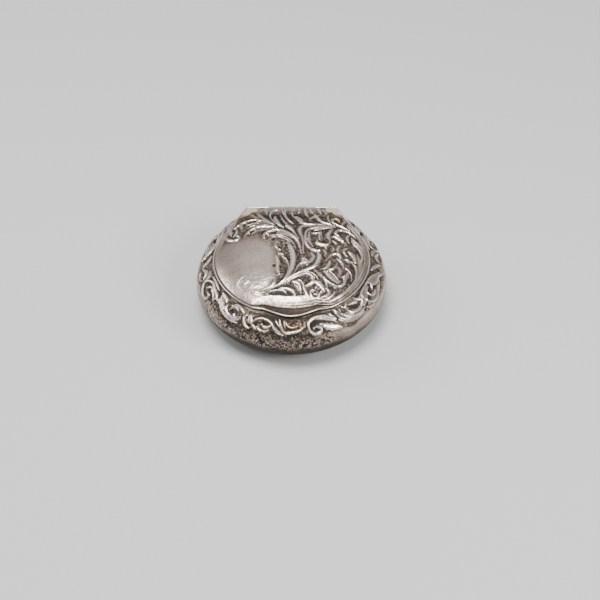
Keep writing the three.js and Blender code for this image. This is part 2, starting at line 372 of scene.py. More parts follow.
# Silver of any finish, from three vertex values. "tone" is 0 in the hollows and 1 on the ridges: the colours
# run from the black-brown sulphide left in the hollows to the metal rubbed bright, and on some pieces "tone"
# also holds painted highlights and painted shade. "warm" is the share of golden toning, and "pitted" the
# share of fine corrosion pits. Clouds of tarnish and fine wiping scratches break up the colour and the gloss.
def silverFinish(name, look):
    material = bpy.data.materials.new(name)
    material.use_nodes = True
    tree = material.node_tree
    tree.nodes.clear()
    place = addNode(tree, "ShaderNodeTexCoord").outputs["Object"]     # in metres
    clouds = addNode(tree, "ShaderNodeTexNoise", {
        "Vector": place, "Scale": 1000 / look["cloudMm"], "Detail": 4.0, "Roughness": 0.62})
    grain = addNode(tree, "ShaderNodeTexNoise", {
        "Vector": place, "Scale": 1000 / look["grainMm"], "Detail": 2.0, "Roughness": 0.5})
    turned = addNode(tree, "ShaderNodeMapping", {
        "Vector": place, "Rotation": (0.0, 0.0, math.radians(silver["wipedDegrees"])),
        "Scale": (1.0, silver["wipedStretch"], 1.0)})
    wiped = addNode(tree, "ShaderNodeTexNoise", {
        "Vector": turned.outputs["Vector"], "Scale": 1000 / look["scratchMm"], "Detail": 2.0})
    holes = addNode(tree, "ShaderNodeTexNoise", {
        "Vector": place, "Scale": 1000 / silver["pitMm"], "Detail": 1.5})

    pitted = addNode(tree, "ShaderNodeAttribute", attribute_name="pitted").outputs["Fac"]
    pits = addNode(tree, "ShaderNodeMapRange", {
        "Value": holes.outputs["Fac"], "From Min": 0.5, "From Max": 0.6,
        "To Min": 0.0, "To Max": -silver["pitTone"]})
    pitShift = addNode(tree, "ShaderNodeMath", {0: pits.outputs["Result"], 1: pitted}, operation="MULTIPLY")
    cloudShift = addNode(tree, "ShaderNodeMapRange", {
        "Value": clouds.outputs["Fac"], "From Min": 0.3, "From Max": 0.7,
        "To Min": -look["cloudDepth"], "To Max": look["cloudDepth"]})
    grainShift = addNode(tree, "ShaderNodeMapRange", {
        "Value": grain.outputs["Fac"], "From Min": 0.3, "From Max": 0.7,
        "To Min": -look["grainDepth"], "To Max": look["grainDepth"]})
    tone = look.get("tone")      # one tone all over, or else the vertex value
    if tone is None:
        tone = addNode(tree, "ShaderNodeAttribute", attribute_name="tone").outputs["Fac"]
    clouded = addNode(tree, "ShaderNodeMath", {0: tone, 1: cloudShift.outputs["Result"]}, operation="ADD")
    grained = addNode(tree, "ShaderNodeMath", {
        0: clouded.outputs[0], 1: grainShift.outputs["Result"]}, operation="ADD")
    worn = addNode(tree, "ShaderNodeMath", {0: grained.outputs[0], 1: pitShift.outputs[0]}, operation="ADD")

    colour = addNode(tree, "ShaderNodeValToRGB", {"Fac": worn.outputs[0]})
    setRamp(colour, look["colours"])
    warm = addNode(tree, "ShaderNodeAttribute", attribute_name="warm").outputs["Fac"]
    toned = addNode(tree, "ShaderNodeMix", {      # inputs 6 and 7 are its two colours
        0: warm, 6: colour.outputs["Color"], 7: linear(silver["toning"])},
        data_type="RGBA", blend_type="MULTIPLY")
    gloss = addNode(tree, "ShaderNodeValToRGB", {"Fac": worn.outputs[0]})
    setRamp(gloss, look["roughness"])
    smear = addNode(tree, "ShaderNodeMapRange", {
        "Value": wiped.outputs["Fac"], "From Min": 0.3, "From Max": 0.7,
        "To Min": -silver["wipedGloss"], "To Max": silver["wipedGloss"]})
    rough = addNode(tree, "ShaderNodeMath", {
        0: gloss.outputs["Color"], 1: smear.outputs["Result"]}, operation="ADD")
    metal = addNode(tree, "ShaderNodeMapRange", {
        "Value": worn.outputs[0], "From Min": 0.0, "From Max": 0.35,
        "To Min": look["hollowMetal"], "To Max": 1.0})
    smooth = addNode(tree, "ShaderNodeMath", {
        0: wiped.outputs["Fac"], 1: grain.outputs["Fac"]}, operation="ADD")
    height = addNode(tree, "ShaderNodeMath", {0: smooth.outputs[0], 1: pitShift.outputs[0]}, operation="ADD")
    bump = addNode(tree, "ShaderNodeBump", {
        "Height": height.outputs[0], "Strength": look["bump"], "Distance": silver["bumpMm"] * mm})
    shader = addNode(tree, "ShaderNodeBsdfPrincipled", {
        "Base Color": toned.outputs[2], "Roughness": rough.outputs[0], "Metallic": metal.outputs["Result"],
        "Normal": bump.outputs["Normal"]})
    addNode(tree, "ShaderNodeOutputMaterial", {"Surface": shader.outputs["BSDF"]})
    return material


# Stamped silver, chased and then oxidised: dark sulphide stays in the hollows, the ridges are rubbed bright.
chasedSilver = silverFinish("chased_oxidised_silver", {
    "cloudMm": 5.0, "cloudDepth": 0.07, "grainMm": 0.26, "grainDepth": 0.15, "scratchMm": 3.0, "bump": 0.3,
    "colours": [(0.0, "#1c1713"), (0.25, "#5c5248"), (0.5, "#a8968b"), (0.75, "#dccabf"), (1.0, "#fdf4eb")],
    "roughness": [(0.0, 0.64), (0.3, 0.5), (0.55, 0.36), (0.8, 0.29), (1.0, 0.22)],
    "hollowMetal": 0.4})
# Spun or stamped silver, polished long ago and dulled by handling: soft, slightly pink-grey reflections.
handledSilver = silverFinish("handled_polished_silver", {
    "cloudMm": 7.0, "cloudDepth": 0.1, "grainMm": 0.4, "grainDepth": 0.06, "scratchMm": 4.0, "bump": 0.25,
    "colours": [(0.0, "#1f1711"), (0.25, "#64564a"), (0.5, "#a99b91"), (0.75, "#d3c6bd"), (1.0, "#f4ece4")],
    "roughness": [(0.0, 0.72), (0.3, 0.52), (0.55, 0.34), (0.8, 0.26), (1.0, 0.2)],
    "hollowMetal": 0.25})
# Fire-gilt inside: warm yellow, soft gloss, rubbed thin in places.
washedGilt = silverFinish("gilt_wash_on_silver", {
    "cloudMm": 6.0, "cloudDepth": 0.16, "grainMm": 0.5, "grainDepth": 0.05, "scratchMm": 4.0, "bump": 0.2,
    "colours": [(0.0, "#6d4c1f"), (0.3, "#a67a36"), (0.6, "#d0a55a"), (0.85, "#dfbd7c"), (1.0, "#e6d6b8")],
    "roughness": [(0.0, 0.5), (0.5, 0.34), (1.0, 0.24)],
    "hollowMetal": 0.9})
# Silver seen as it was cut, never rubbed: a frosted, matt bloom with a little straw colour in it, whose
# nearly white top colours are a painted highlight on the ears.
frostedSilver = silverFinish("frosted_silver", {
    "cloudMm": 2.5, "cloudDepth": 0.16, "grainMm": 0.25, "grainDepth": 0.1, "scratchMm": 2.0, "bump": 0.4,
    "colours": [(0.0, "#6d6250"), (0.4, "#b3a88f"), (0.7, "#efe6cf"), (1.0, "#fffaf0")],
    "roughness": [(0.0, 0.62), (1.0, 0.5)],
    "hollowMetal": 0.6})
# Drawn silver wire: brighter and finer scratched than the sheet.
drawnWire = silverFinish("drawn_silver_wire", {
    "tone": 0.65,
    "cloudMm": 3.0, "cloudDepth": 0.1, "grainMm": 0.25, "grainDepth": 0.06, "scratchMm": 1.5, "bump": 0.3,
    "colours": [(0.0, "#2f271f"), (0.3, "#7c7066"), (0.6, "#b5aba3"), (1.0, "#eee8e2")],
    "roughness": [(0.0, 0.5), (0.5, 0.32), (1.0, 0.22)],
    "hollowMetal": 0.7})
print("materials made")

# The lid's chasing, in millimetres on the lid seen from above. A stroke is its height, its half widths from
# end to end, and the points it runs through.
lidStrokes = [
    # frond at the back left
    (0.35, (0.2, 0.6, 0.55, 0.35, 0.15), [(-8.4, 15.2), (-7.8, 14.2), (-7, 13), (-6, 12), (-5, 10.9)]),
    (0.5, (0.12, 0.3, 0.45, 0.5, 0.25), [(-4, 9.2), (-4.9, 10.3), (-6, 11.2), (-7.3, 11.8), (-8.3, 11.6)]),
    (0.42, (0.3, 0.2, 0.06), [(-8.0, 11.7), (-8.2, 11.2), (-8.1, 10.6)]),
    (0.45, (0.12, 0.3, 0.42, 0.55, 0.45, 0.2),
     [(-7.6, 12.4), (-9.4, 12.5), (-10.8, 12.2), (-12, 11.6), (-13, 10.9), (-13.7, 10)]),
    (0.42, (0.4, 0.3, 0.08), [(-10.9, 12.1), (-10.9, 11.3), (-10.5, 10.4)]),
    (0.45, (0.6, 0.5, 0.35, 0.1), [(-12.4, 11.2), (-12.1, 10.4), (-11.9, 9.7), (-11.8, 8.9)]),
    (0.3, (0.1, 0.25, 0.25, 0.1), [(-5, 9.5), (-6.6, 9.75), (-8.6, 9.9), (-10.2, 9.6)]),
    # leaf and volute at the left edge
    (0.5, (0.2, 0.7, 0.65, 0.15), [(-14.7, 11), (-14.8, 9.6), (-14.5, 8.4), (-14.3, 7.3)]),
    (0.5, (0.15, 0.35, 0.5, 0.45, 0.42, 0.36, 0.3, 0.22),
     [(-15.9, 8), (-15.6, 6.7), (-14.9, 5.7), (-13.8, 5.0), (-12.9, 5.0), (-12.35, 5.6), (-12.4, 6.3),
      (-12.9, 6.6)]),
    # frond over the shield
    (0.55, (0.15, 0.32, 0.42, 0.45, 0.4, 0.34, 0.28, 0.1),
     [(-3.4, 8.4), (-5.5, 8.8), (-7, 9.0), (-8.5, 8.8), (-9.6, 8.2), (-10.4, 7.2), (-10.9, 6.3),
      (-11.1, 5.2)]),
    (0.5, (0.5, 0.36, 0.08), [(-8.6, 8.6), (-8.6, 7.9), (-8.5, 7.1)]),
    (0.45, (0.4, 0.3, 0.08), [(-10, 7.9), (-10.1, 7.3), (-10, 6.7)]),
    (0.4, (0.35, 0.22, 0.06), [(-7.3, 8.9), (-7.25, 8.3), (-7, 7.8)]),
    # long C-scroll that frames the shield, its tip, and the lines inside it
    (0.6, (0.1, 0.42, 0.42, 0.4, 0.38, 0.42, 0.42, 0.36, 0.32, 0.28, 0.22, 0.16, 0.08),
     [(-6.35, 4.4), (-6.5, 5.6), (-5.8, 6.6), (-4.6, 7.2), (-3.3, 7.4), (-2.1, 6.95), (-1, 6.3), (0, 5.35),
      (1, 4.1), (1.8, 2.4), (2.15, 0.5), (2.2, -1), (2.1, -2.6)]),
    (0.5, (0.4, 0.25, 0.06), [(-5.8, 6.4), (-5.5, 5.8), (-5.3, 5.1)]),
    (0.32, (0.1, 0.2, 0.22, 0.22, 0.22, 0.2, 0.1),
     [(-4.9, 5.5), (-3.5, 5.55), (-2.2, 5.25), (-1, 4.5), (0, 3.3), (0.7, 1.9), (1.1, 0.4)]),
    (0.28, (0.1, 0.16, 0.18, 0.1), [(-4.8, 4.95), (-3, 4.9), (-1.4, 4.1), (-0.2, 2.7)]),
    (0.45, (0.26, 0.3, 0.26, 0.2, 0.08),
     [(-3.1, 3.1), (-3.7, 2.4), (-3.7, 1.5), (-3.2, 0.7), (-2.5, 0.15)]),
    (0.35, (0.15, 0.35, 0.12), [(-1.1, 2.9), (-0.7, 2.3), (-0.3, 1.6)]),
    # leaves that stand up towards the hinge
    (0.45, (0.25, 0.45, 0.42, 0.34, 0.26, 0.2, 0.1),
     [(-3.3, 15.9), (-4.3, 15.5), (-5, 14.6), (-5.2, 13.5), (-4.9, 12.3), (-4.4, 11.1), (-3.9, 10)]),
    (0.52, (0.3, 0.7, 0.62, 0.48, 0.15), [(-4, 13.1), (-3.9, 12), (-3.4, 10.6), (-2.8, 9.4), (-1.9, 8.3)]),
    (0.45, (0.15, 0.42, 0.42, 0.38, 0.3, 0.15),
     [(-1.2, 16), (-1.7, 14.7), (-1.5, 13.3), (-1, 12.1), (-0.4, 11), (0.3, 10.1)]),
    (0.48, (0.35, 0.75, 0.5, 0.32, 0.22, 0.1),
     [(-1.3, 9.2), (-0.7, 8.7), (0, 7.8), (0.5, 6.8), (1.1, 5.4), (1.8, 3.9)]),
    (0.35, (0.2, 0.45, 0.45, 0.15), [(2, 18), (2.1, 17), (1.9, 15.8), (1.7, 14.7)]),
    (0.3, (0.15, 0.3, 0.3, 0.1), [(-2.4, 17.6), (-2.2, 16.6), (-2.3, 15.4), (-2, 14)]),
    (0.3, (0.2, 0.4, 0.4, 0.1), [(-7.5, 17.4), (-6.6, 16.6), (-6.2, 15.6), (-5.9, 14.2)]),
    (0.3, (0.15, 0.35, 0.35, 0.12), [(6.4, 17.6), (6.5, 16.6), (6.9, 15.6), (7.1, 14.6)]),
    (0.3, (0.15, 0.35, 0.35, 0.12), [(7.6, 17.4), (8.1, 16.4), (8.3, 15.3), (8, 14)]),
    (0.28, (0.15, 0.3, 0.3, 0.12), [(4.5, 17.5), (4.3, 16.5), (4.8, 15.4), (5.1, 14.6)]),
    # the stem that runs down between the two great scrolls
    (0.24, (0.3, 0.4, 0.5, 0.7, 0.8, 0.6, 0.42, 0.36, 0.15),
     [(10.5, 9.6), (8, 9.5), (5, 9.15), (2.6, 8.9), (1.9, 7.4), (2.4, 5), (2.7, 3), (2.75, 1),
      (2.8, -0.8)]),
    # leaf and stem at the back right
    (0.52, (0.4, 0.95, 0.95, 0.62, 0.42, 0.3, 0.25, 0.1),
     [(0.9, 12.9), (1.6, 12.2), (2.1, 11.2), (2.6, 10.2), (3.6, 9.75), (5, 9.65), (6.6, 9.9), (8.2, 10.1)]),
    (0.45, (0.12, 0.4, 0.5, 0.2), [(4.4, 12.3), (5.1, 12.9), (5.9, 13.4), (6.5, 13.9)]),
    (0.5, (0.3, 0.6, 0.45, 0.34, 0.28, 0.12),
     [(5.5, 14.2), (6.1, 13), (6.8, 11.7), (7.7, 10.9), (8.9, 10.45), (10.4, 10)]),
    (0.55, (0.15, 0.3, 0.4, 0.38, 0.36, 0.34, 0.34, 0.34, 0.3, 0.12),
     [(11.4, 12.4), (11.2, 13.1), (10.5, 13.4), (9.85, 13), (9.75, 12), (10.0, 11.2), (10.8, 10.6),
      (11.8, 10.2), (12.8, 9.7), (14, 8.8)]),
    (0.42, (0.2, 0.5, 0.5, 0.36, 0.1), [(14.8, 11.7), (14.5, 10.6), (14.8, 9.5), (15.4, 8.3), (16, 7)]),
    (0.3, (0.15, 0.3, 0.12), [(13.4, 11.8), (13.6, 11), (14, 10)]),
    # great scroll in the middle and the flower inside it
    (0.56, (0.12, 0.28, 0.34, 0.38, 0.38, 0.36, 0.42, 0.42, 0.38, 0.36, 0.36, 0.34, 0.15),
     [(9.6, 9), (7.5, 8.7), (5.8, 8.4), (4.4, 7.9), (3.6, 7), (3.3, 5.6), (3.25, 4.3), (3.3, 3.1),
      (3.65, 1.9), (4.2, 0.95), (5, 0.2), (5.8, -0.1), (6.7, 0.15)]),
    (0.42, (0.35, 0.26, 0.1), [(3.5, 4.1), (3.9, 3.6), (4, 2.9)]),
    (0.5, (0.15, 0.45, 0.62, 0.25), [(8.5, 8.7), (7.2, 8.3), (6.2, 7.9), (5.5, 7.4)]),
    (0.42, (0.1, 0.25, 0.36, 0.2), [(4.8, 6.3), (5.8, 6.35), (6.6, 6.6), (7, 7)]),
    (0.28, (0.1, 0.16, 0.16, 0.1), [(9.2, 7.9), (8.6, 6.9), (8.2, 6.2), (7.9, 5.4)]),
    (0.25, (0.1, 0.15, 0.1), [(7.2, 6.8), (7.1, 5.6), (7.3, 4.4)]),
    (0.55, (0.2, 0.6, 0.7, 0.42, 0.24, 0.1),
     [(6, 3.9), (6.1, 2.7), (7.2, 2.25), (8.3, 2.3), (8.95, 3.1), (9, 4.2)]),
    (0.4, (0.4, 0.3, 0.1), [(7.6, 2.1), (7.9, 1.6), (8.2, 1.1)]),
    # hook, bright leaf and long crescent at the right edge
    (0.56, (0.12, 0.34, 0.4, 0.4, 0.42, 0.44, 0.4, 0.15),
     [(15.3, 6.9), (14.2, 7.8), (12.8, 8.5), (11.6, 8.6), (10.8, 8.05), (10.45, 7.2), (10.6, 6.5),
      (11.3, 5.9)]),
    (0.5, (0.2, 0.7, 0.85, 0.4), [(9.8, 5.5), (10.7, 5.4), (11.5, 4.9), (12.2, 4.1)]),
    (0.35, (0.12, 0.3, 0.12), [(9.7, 3.9), (10.3, 3.5), (10.6, 3)]),
    (0.4, (0.15, 0.28, 0.1), [(12.7, 4), (12.75, 3.3), (12.4, 2.7)]),
    (0.56, (0.2, 0.4, 0.38, 0.34, 0.28, 0.08),
     [(14.7, 3.7), (15.5, 3.1), (16.1, 2.1), (16.4, 0.9), (16.45, -0.5), (16.1, -2.2)]),
    (0.38, (0.25, 0.5, 0.55, 0.4, 0.12), [(14.2, 6), (15.1, 5.1), (15.9, 4.1), (16.6, 2.7), (17, 0.8)]),
    (0.42, (0.1, 0.26, 0.24, 0.1), [(14.2, 5.9), (14.25, 5.2), (14.5, 4.5), (15, 3.9)]),
    (0.48, (0.25, 0.3, 0.28, 0.22, 0.08), [(13, 1.9), (12.4, 1.5), (12.2, 0.7), (12.4, 0), (12.9, -0.6)]),
    (0.36, (0.3, 0.75, 0.75, 0.3), [(13.3, 0.9), (14.2, 0.1), (14.7, -0.9), (14.9, -2.2)]),
    # crescent leaf beside the shield
    (0.5, (0.25, 0.8, 1.0, 1.05, 0.95, 0.72, 0.45, 0.12),
     [(-0.8, 2.4), (-0.1, 0.8), (0.3, -1.1), (0.45, -3), (0.3, -4.9), (0, -6.4), (-0.7, -8), (-1.9, -9.9)]),
    (0.6, (0.15, 0.26, 0.28, 0.3, 0.3, 0.26, 0.1),
     [(-2, -2.1), (-1.2, -3.1), (-0.75, -4.4), (-0.6, -5.9), (-0.9, -7.4), (-1.6, -9), (-2.8, -10.4)]),
    (0.5, (0.25, 0.4, 0.2), [(-2.9, -1.0), (-2.4, -1.25), (-1.9, -1.6)]),
    (0.55, (0.2, 0.52, 0.45, 0.36, 0.12),
     [(-3.5, -8.7), (-3.8, -9.7), (-4.6, -10.8), (-5.6, -11.5), (-7.2, -12.1)]),
    # small C inside the foot of the shield
    (0.14, (0.2, 0.34, 0.3, 0.26, 0.26, 0.26, 0.26, 0.28, 0.3, 0.3, 0.12),
     [(-10.6, -9.5), (-9.9, -9), (-10.2, -8), (-11, -7.6), (-11.9, -8.3), (-12.1, -9.3), (-11.6, -10.4),
      (-10.8, -11.2), (-9.6, -11.9), (-8, -12.6), (-5.2, -13.4)]),
    # stems that spring from the front
    (0.45, (0.1, 0.2, 0.28, 0.3, 0.2, 0.08),
     [(-6.6, -12.4), (-5, -12.1), (-3.5, -11.8), (-2, -11.9), (-1.3, -12.4), (-0.9, -13)]),
    (0.5, (0.15, 0.5, 0.7, 0.25), [(-2.6, -11.4), (-1.2, -11.5), (0, -11.9), (0.8, -12.9)]),
    (0.4, (0.1, 0.26, 0.3, 0.28, 0.26, 0.15),
     [(-5.6, -11.8), (-4, -11), (-2.6, -10.2), (-1.3, -9.2), (0, -8.1), (0.7, -7.2)]),
    (0.5, (0.12, 0.26, 0.32, 0.42, 0.52, 0.7, 0.85, 0.85, 0.3),
     [(-2, -10.2), (0.5, -8), (2, -6.9), (3.5, -6.2), (5, -5.2), (5.8, -4.3), (6.3, -3), (6.5, -1.7),
      (6.2, -0.7)]),
    (0.52, (0.08, 0.2, 0.28, 0.34, 0.36, 0.15),
     [(0.1, -8.1), (0.9, -6.7), (1.5, -5.3), (2.1, -4.4), (2.9, -4.1), (3.7, -4.6)]),
    (0.38, (0.12, 0.26, 0.12), [(2.5, -2.7), (3.3, -2.9), (3.9, -3.9)]),
    (0.3, (0.1, 0.2, 0.1), [(2.4, -3.5), (3, -3.4), (3.5, -3.9)]),
    (0.56, (0.08, 0.2, 0.28, 0.34, 0.4, 0.44, 0.44, 0.42, 0.2),
     [(-1.5, -10.3), (0.2, -8.9), (1.6, -8), (3, -7.5), (4.2, -7.75), (4.95, -8.6), (4.8, -9.6), (4, -10.3),
      (3.2, -10.8)]),
    (0.34, (0.08, 0.16, 0.18, 0.18, 0.1),
     [(0.7, -7.7), (2.5, -6.95), (4.3, -6.95), (5.5, -7.7), (6.2, -9)]),
    # leaf, flower and bead in the front right
    (0.38, (0.4, 0.95, 0.9, 0.2), [(4.9, -9.6), (6.1, -9.8), (7, -10.7), (7.5, -11.9)]),
    (0.46, (0.12, 0.3, 0.28, 0.12), [(7.5, -8.8), (8, -9.5), (8.1, -10.4), (7.9, -11.2)]),
    (0.4, (0.1, 0.22, 0.26, 0.26, 0.26, 0.22, 0.2, 0.14),
     [(6.9, -11.8), (6.4, -12.4), (6.2, -13.2), (5.5, -13.6), (4.7, -13.1), (4.4, -12.2), (4.8, -11.6),
      (5.4, -11.9)]),
    (0.32, (0.16, 0.22, 0.1), [(5.1, -12.5), (5.5, -12.6), (5.8, -12.2)]),
    (0.38, (0.12, 0.26, 0.28, 0.22, 0.2, 0.12),
     [(1.5, -9), (2.3, -9.5), (2.8, -10.4), (2.9, -11.4), (3.5, -12.6), (4.3, -13.8)]),
    (0.5, (0.2, 0.42, 0.2), [(0.8, -10.5), (1.3, -11), (1.6, -11.6)]),
    (0.4, (0.3, 0.36, 0.3, 0.2, 0.08),
     [(9.9, -11.6), (9.4, -12.5), (8.3, -13.5), (6.8, -14.2), (5, -14.7)]),
    # scroll at the right of the front
    (0.56, (0.1, 0.24, 0.28, 0.32, 0.34, 0.38, 0.38, 0.38, 0.42, 0.25),
     [(5.3, -6.2), (6.4, -7.1), (7.2, -8.1), (8.2, -9.1), (9.3, -9.8), (10.4, -10.2), (11.3, -9.9),
      (12, -9.1), (12.3, -8), (12.3, -6.9)]),
    (0.5, (0.2, 0.65, 0.6, 0.2), [(13, -5.8), (12.8, -6.8), (12.3, -7.6), (12.1, -8.4)]),
    (0.45, (0.35, 0.22, 0.06), [(12.2, -7.1), (11.7, -7.4), (11.2, -7.6)]),
    (0.46, (0.15, 0.3, 0.3, 0.28, 0.2),
     [(10.6, -3.4), (10.2, -4.6), (9.4, -5.5), (8.6, -5.8), (8.3, -6.4)]),
    (0.32, (0.08, 0.22, 0.24, 0.1), [(8.8, -6.2), (9.7, -6.9), (10.4, -7.9), (11.2, -9)]),
    (0.36, (0.1, 0.24, 0.26, 0.1), [(12.6, -4.6), (13.4, -5.4), (13.8, -6.4), (13.8, -7.8)]),
    (0.5, (0.1, 0.26, 0.32, 0.4, 0.4, 0.2),
     [(8.1, -2.7), (8.8, -1.6), (9.6, -0.8), (10.5, -0.45), (11.2, -0.8), (11.4, -1.6)]),
    (0.3, (0.3, 0.55, 0.55, 0.2), [(8.9, -3), (8.8, -4), (8.2, -5), (7.4, -5.6)]),
    (0.3, (0.15, 0.35, 0.3, 0.1), [(10.6, -2), (11.4, -2.7), (11.9, -3.6), (12, -4.6)]),
    (0.52, (0.25, 0.34, 0.2), [(12.6, -1.9), (13.1, -2.2), (14.1, -2.6)]),
    (0.56, (0.12, 0.26, 0.3, 0.3, 0.3, 0.3, 0.28, 0.22, 0.08),
     [(13.9, -2.3), (14.8, -3.6), (15, -5.2), (14.7, -7.2), (13.9, -9), (12.8, -10.6), (11.6, -11.9),
      (10.2, -13), (8.6, -14.1)]),
]

# Low bodies of leaves that swell between the crests above.
lidBodies = [
    (0.24, (0.3, 0.7, 0.7, 0.3), [(9.9, 8.7), (9, 7), (8.7, 5.5), (9.1, 4.1)]),
    (0.24, (0.2, 0.45, 0.3), [(7, 6.8), (6.6, 5.5), (6.7, 4.1)]),
    (0.22, (0.25, 0.6, 0.6, 0.3), [(4.3, 7), (4.1, 5), (4.3, 3), (5, 1.4)]),
    (0.26, (0.15, 0.42, 0.4, 0.15), [(13.9, 7.4), (13.2, 6.3), (13.2, 5.1), (13.7, 4.2)]),
    (0.26, (0.15, 0.4, 0.2), [(9.6, 1.7), (9.9, 0.9), (9.5, 0.2)]),
    (0.22, (0.2, 0.5, 0.5, 0.2), [(11.6, 2.6), (11, 1.8), (10.8, 0.9), (11, 0.1)]),
    (0.24, (0.2, 0.4, 0.15), [(7.6, 0.5), (8, -0.5), (7.8, -1.5)]),
    (0.18, (0.4, 0.95, 1.0, 0.4), [(7.7, -6.2), (8.7, -7.2), (9.8, -8.3), (10.9, -9.2)]),
    (0.14, (0.3, 0.6, 0.5, 0.2), [(10.9, -4.6), (11.4, -5.8), (11, -7), (10.6, -7.6)]),
    (0.24, (0.2, 0.55, 0.5, 0.2), [(-5.2, 10.1), (-7, 10.75), (-9, 10.9), (-10.4, 10.5)]),
    (0.2, (0.2, 0.5, 0.5, 0.2), [(-4.2, 7.9), (-6, 8.0), (-8, 7.7), (-9.4, 6.7)]),
    (0.28, (0.15, 0.4, 0.4, 0.15), [(-13.3, 9.9), (-13, 8.8), (-13.3, 7.7), (-13.8, 6.8)]),
    (0.3, (0.15, 0.38, 0.36, 0.15), [(-2.7, 13.7), (-2.3, 12.2), (-1.7, 10.7), (-0.9, 9.6)]),
    (0.28, (0.15, 0.35, 0.3, 0.12), [(0.2, 15.6), (0.1, 14.2), (0.5, 12.9), (1, 12)]),
    (0.28, (0.2, 0.55, 0.5, 0.2), [(3.7, 17.2), (3.3, 15.6), (3.5, 14.2), (4, 13.2)]),
    (0.28, (0.2, 0.42, 0.36, 0.15), [(8.8, 14.8), (8.7, 13.4), (8.9, 12.2), (9.3, 11.2)]),
    (0.3, (0.15, 0.36, 0.36, 0.15), [(12.6, 14), (12.8, 12.9), (12.3, 11.9), (12.1, 11)]),
    (0.3, (0.2, 0.5, 0.5, 0.2), [(-10.4, 15.8), (-9.6, 14.9), (-9, 14), (-7.9, 12.9)]),
    (0.22, (0.4, 0.8, 0.6, 0.2), [(-0.4, 6.2), (0.8, 4.7), (1.5, 3), (1.8, 1.2)]),
    (0.22, (0.3, 0.6, 0.6, 0.2), [(4.6, -0.8), (5.2, -2), (4.7, -3.2), (3.8, -4.2)]),
    (0.24, (0.3, 0.7, 0.5, 0.2), [(0.3, -9.6), (1.3, -9.7), (2, -10.6), (2.2, -11.8)]),
    (0.24, (0.3, 0.8, 0.7, 0.2), [(3.4, -11.8), (3.6, -12.8), (5, -13.9), (7, -13.4)]),
    (0.22, (0.3, 0.6, 0.6, 0.3), [(8.2, -11), (8.7, -12), (8, -12.9), (7, -13.2)]),
    (0.26, (0.3, 0.9, 1.1, 1.0, 0.6, 0.2),
     [(15.4, 0.4), (15.9, -1.6), (16.1, -4), (15.7, -6.4), (14.8, -8.6), (13.4, -10.6)]),
    (0.22, (0.2, 0.5, 0.5, 0.2), [(-3.5, 6.4), (-2.2, 6.1), (-0.9, 5.5), (0.1, 4.5)]),
    (0.2, (0.3, 0.7, 0.6, 0.2), [(-3.6, -1.8), (-3.1, -3.6), (-3.1, -5.6), (-2.6, -7.6)]),
]

# Punched hollows: depth, radius and place.
lidPits = [
    (0.22, 0.3, (-2.5, -2.9)), (0.2, 0.28, (-2.4, -3.7)), (0.2, 0.28, (-2.4, -5.2)),
    (0.24, 0.38, (-3.9, -4.9)), (0.16, 0.24, (-2.2, -7)), (0.22, 0.32, (-4.2, 3.9)),
    (0.2, 0.28, (-2.2, 3)), (0.2, 0.3, (-1.2, 2.1)), (0.22, 0.26, (-2.7, 1.2)),
    (0.14, 0.2, (-4.6, 2.7)), (0.14, 0.2, (-1.6, -1.9)), (0.25, 0.45, (10.9, 12.1)),
    (0.2, 0.4, (-8.7, 11.3)), (0.2, 0.5, (-10.3, 11)), (0.2, 0.5, (14.1, -3.7)),
    (0.2, 0.35, (7.6, 3.3)),
]

lidRelief = {
    "cells": 270,
    "shield": (-11.5, -4.6, 7.7, 9.7),   # plain shield at the left: centre and half sizes
    "shieldEdge": (0.82, 1.3),           # it fades out between these shares of those half sizes
    "shieldBulge": 0.16,
    "border": 1.35,                      # plain border inside the dome's foot
    "frontBorder": 2.8,                  # how wide it is above the thumb lip
    "frontSpan": (8, 50),                # degrees from the front between which it narrows again
    "frontTaper": 15,                    # and how many degrees sooner that ends at the right
    "backBorder": 0.25,                  # how wide it is along the hinge
    "grooves": (0.5, 1.1),               # two scored lines at the right, this far in from the dome's foot
    "grooveDepth": 0.1,
    "grooveWidth": 0.14,
    "grooveMiddle": -25,                 # degrees round the lid
    "plainRise": 0.2,                    # shield and border stand this far over the punched ground
    "dimples": ((0.9, 0.07, 41), (0.4, 0.05, 42)),   # dents in the plain front: size, depth and noise seed
    "leafShare": 0.56,                   # sharp part of the leaves' height
    "skirtShare": 0.42,                  # and the soft part, where the sheet swells round them
    "matting": 0.12,                     # depth of the punched ground between the leaves
    "sink": 0.15,                        # the ground lies this far under the plain dome
    "deepest": 0.34,                     # and nothing is punched deeper than this
    "spread": 0.94,                      # widens every stroke
    "backSwell": 0.8,                    # the dome stands up more steeply at the hinge
}


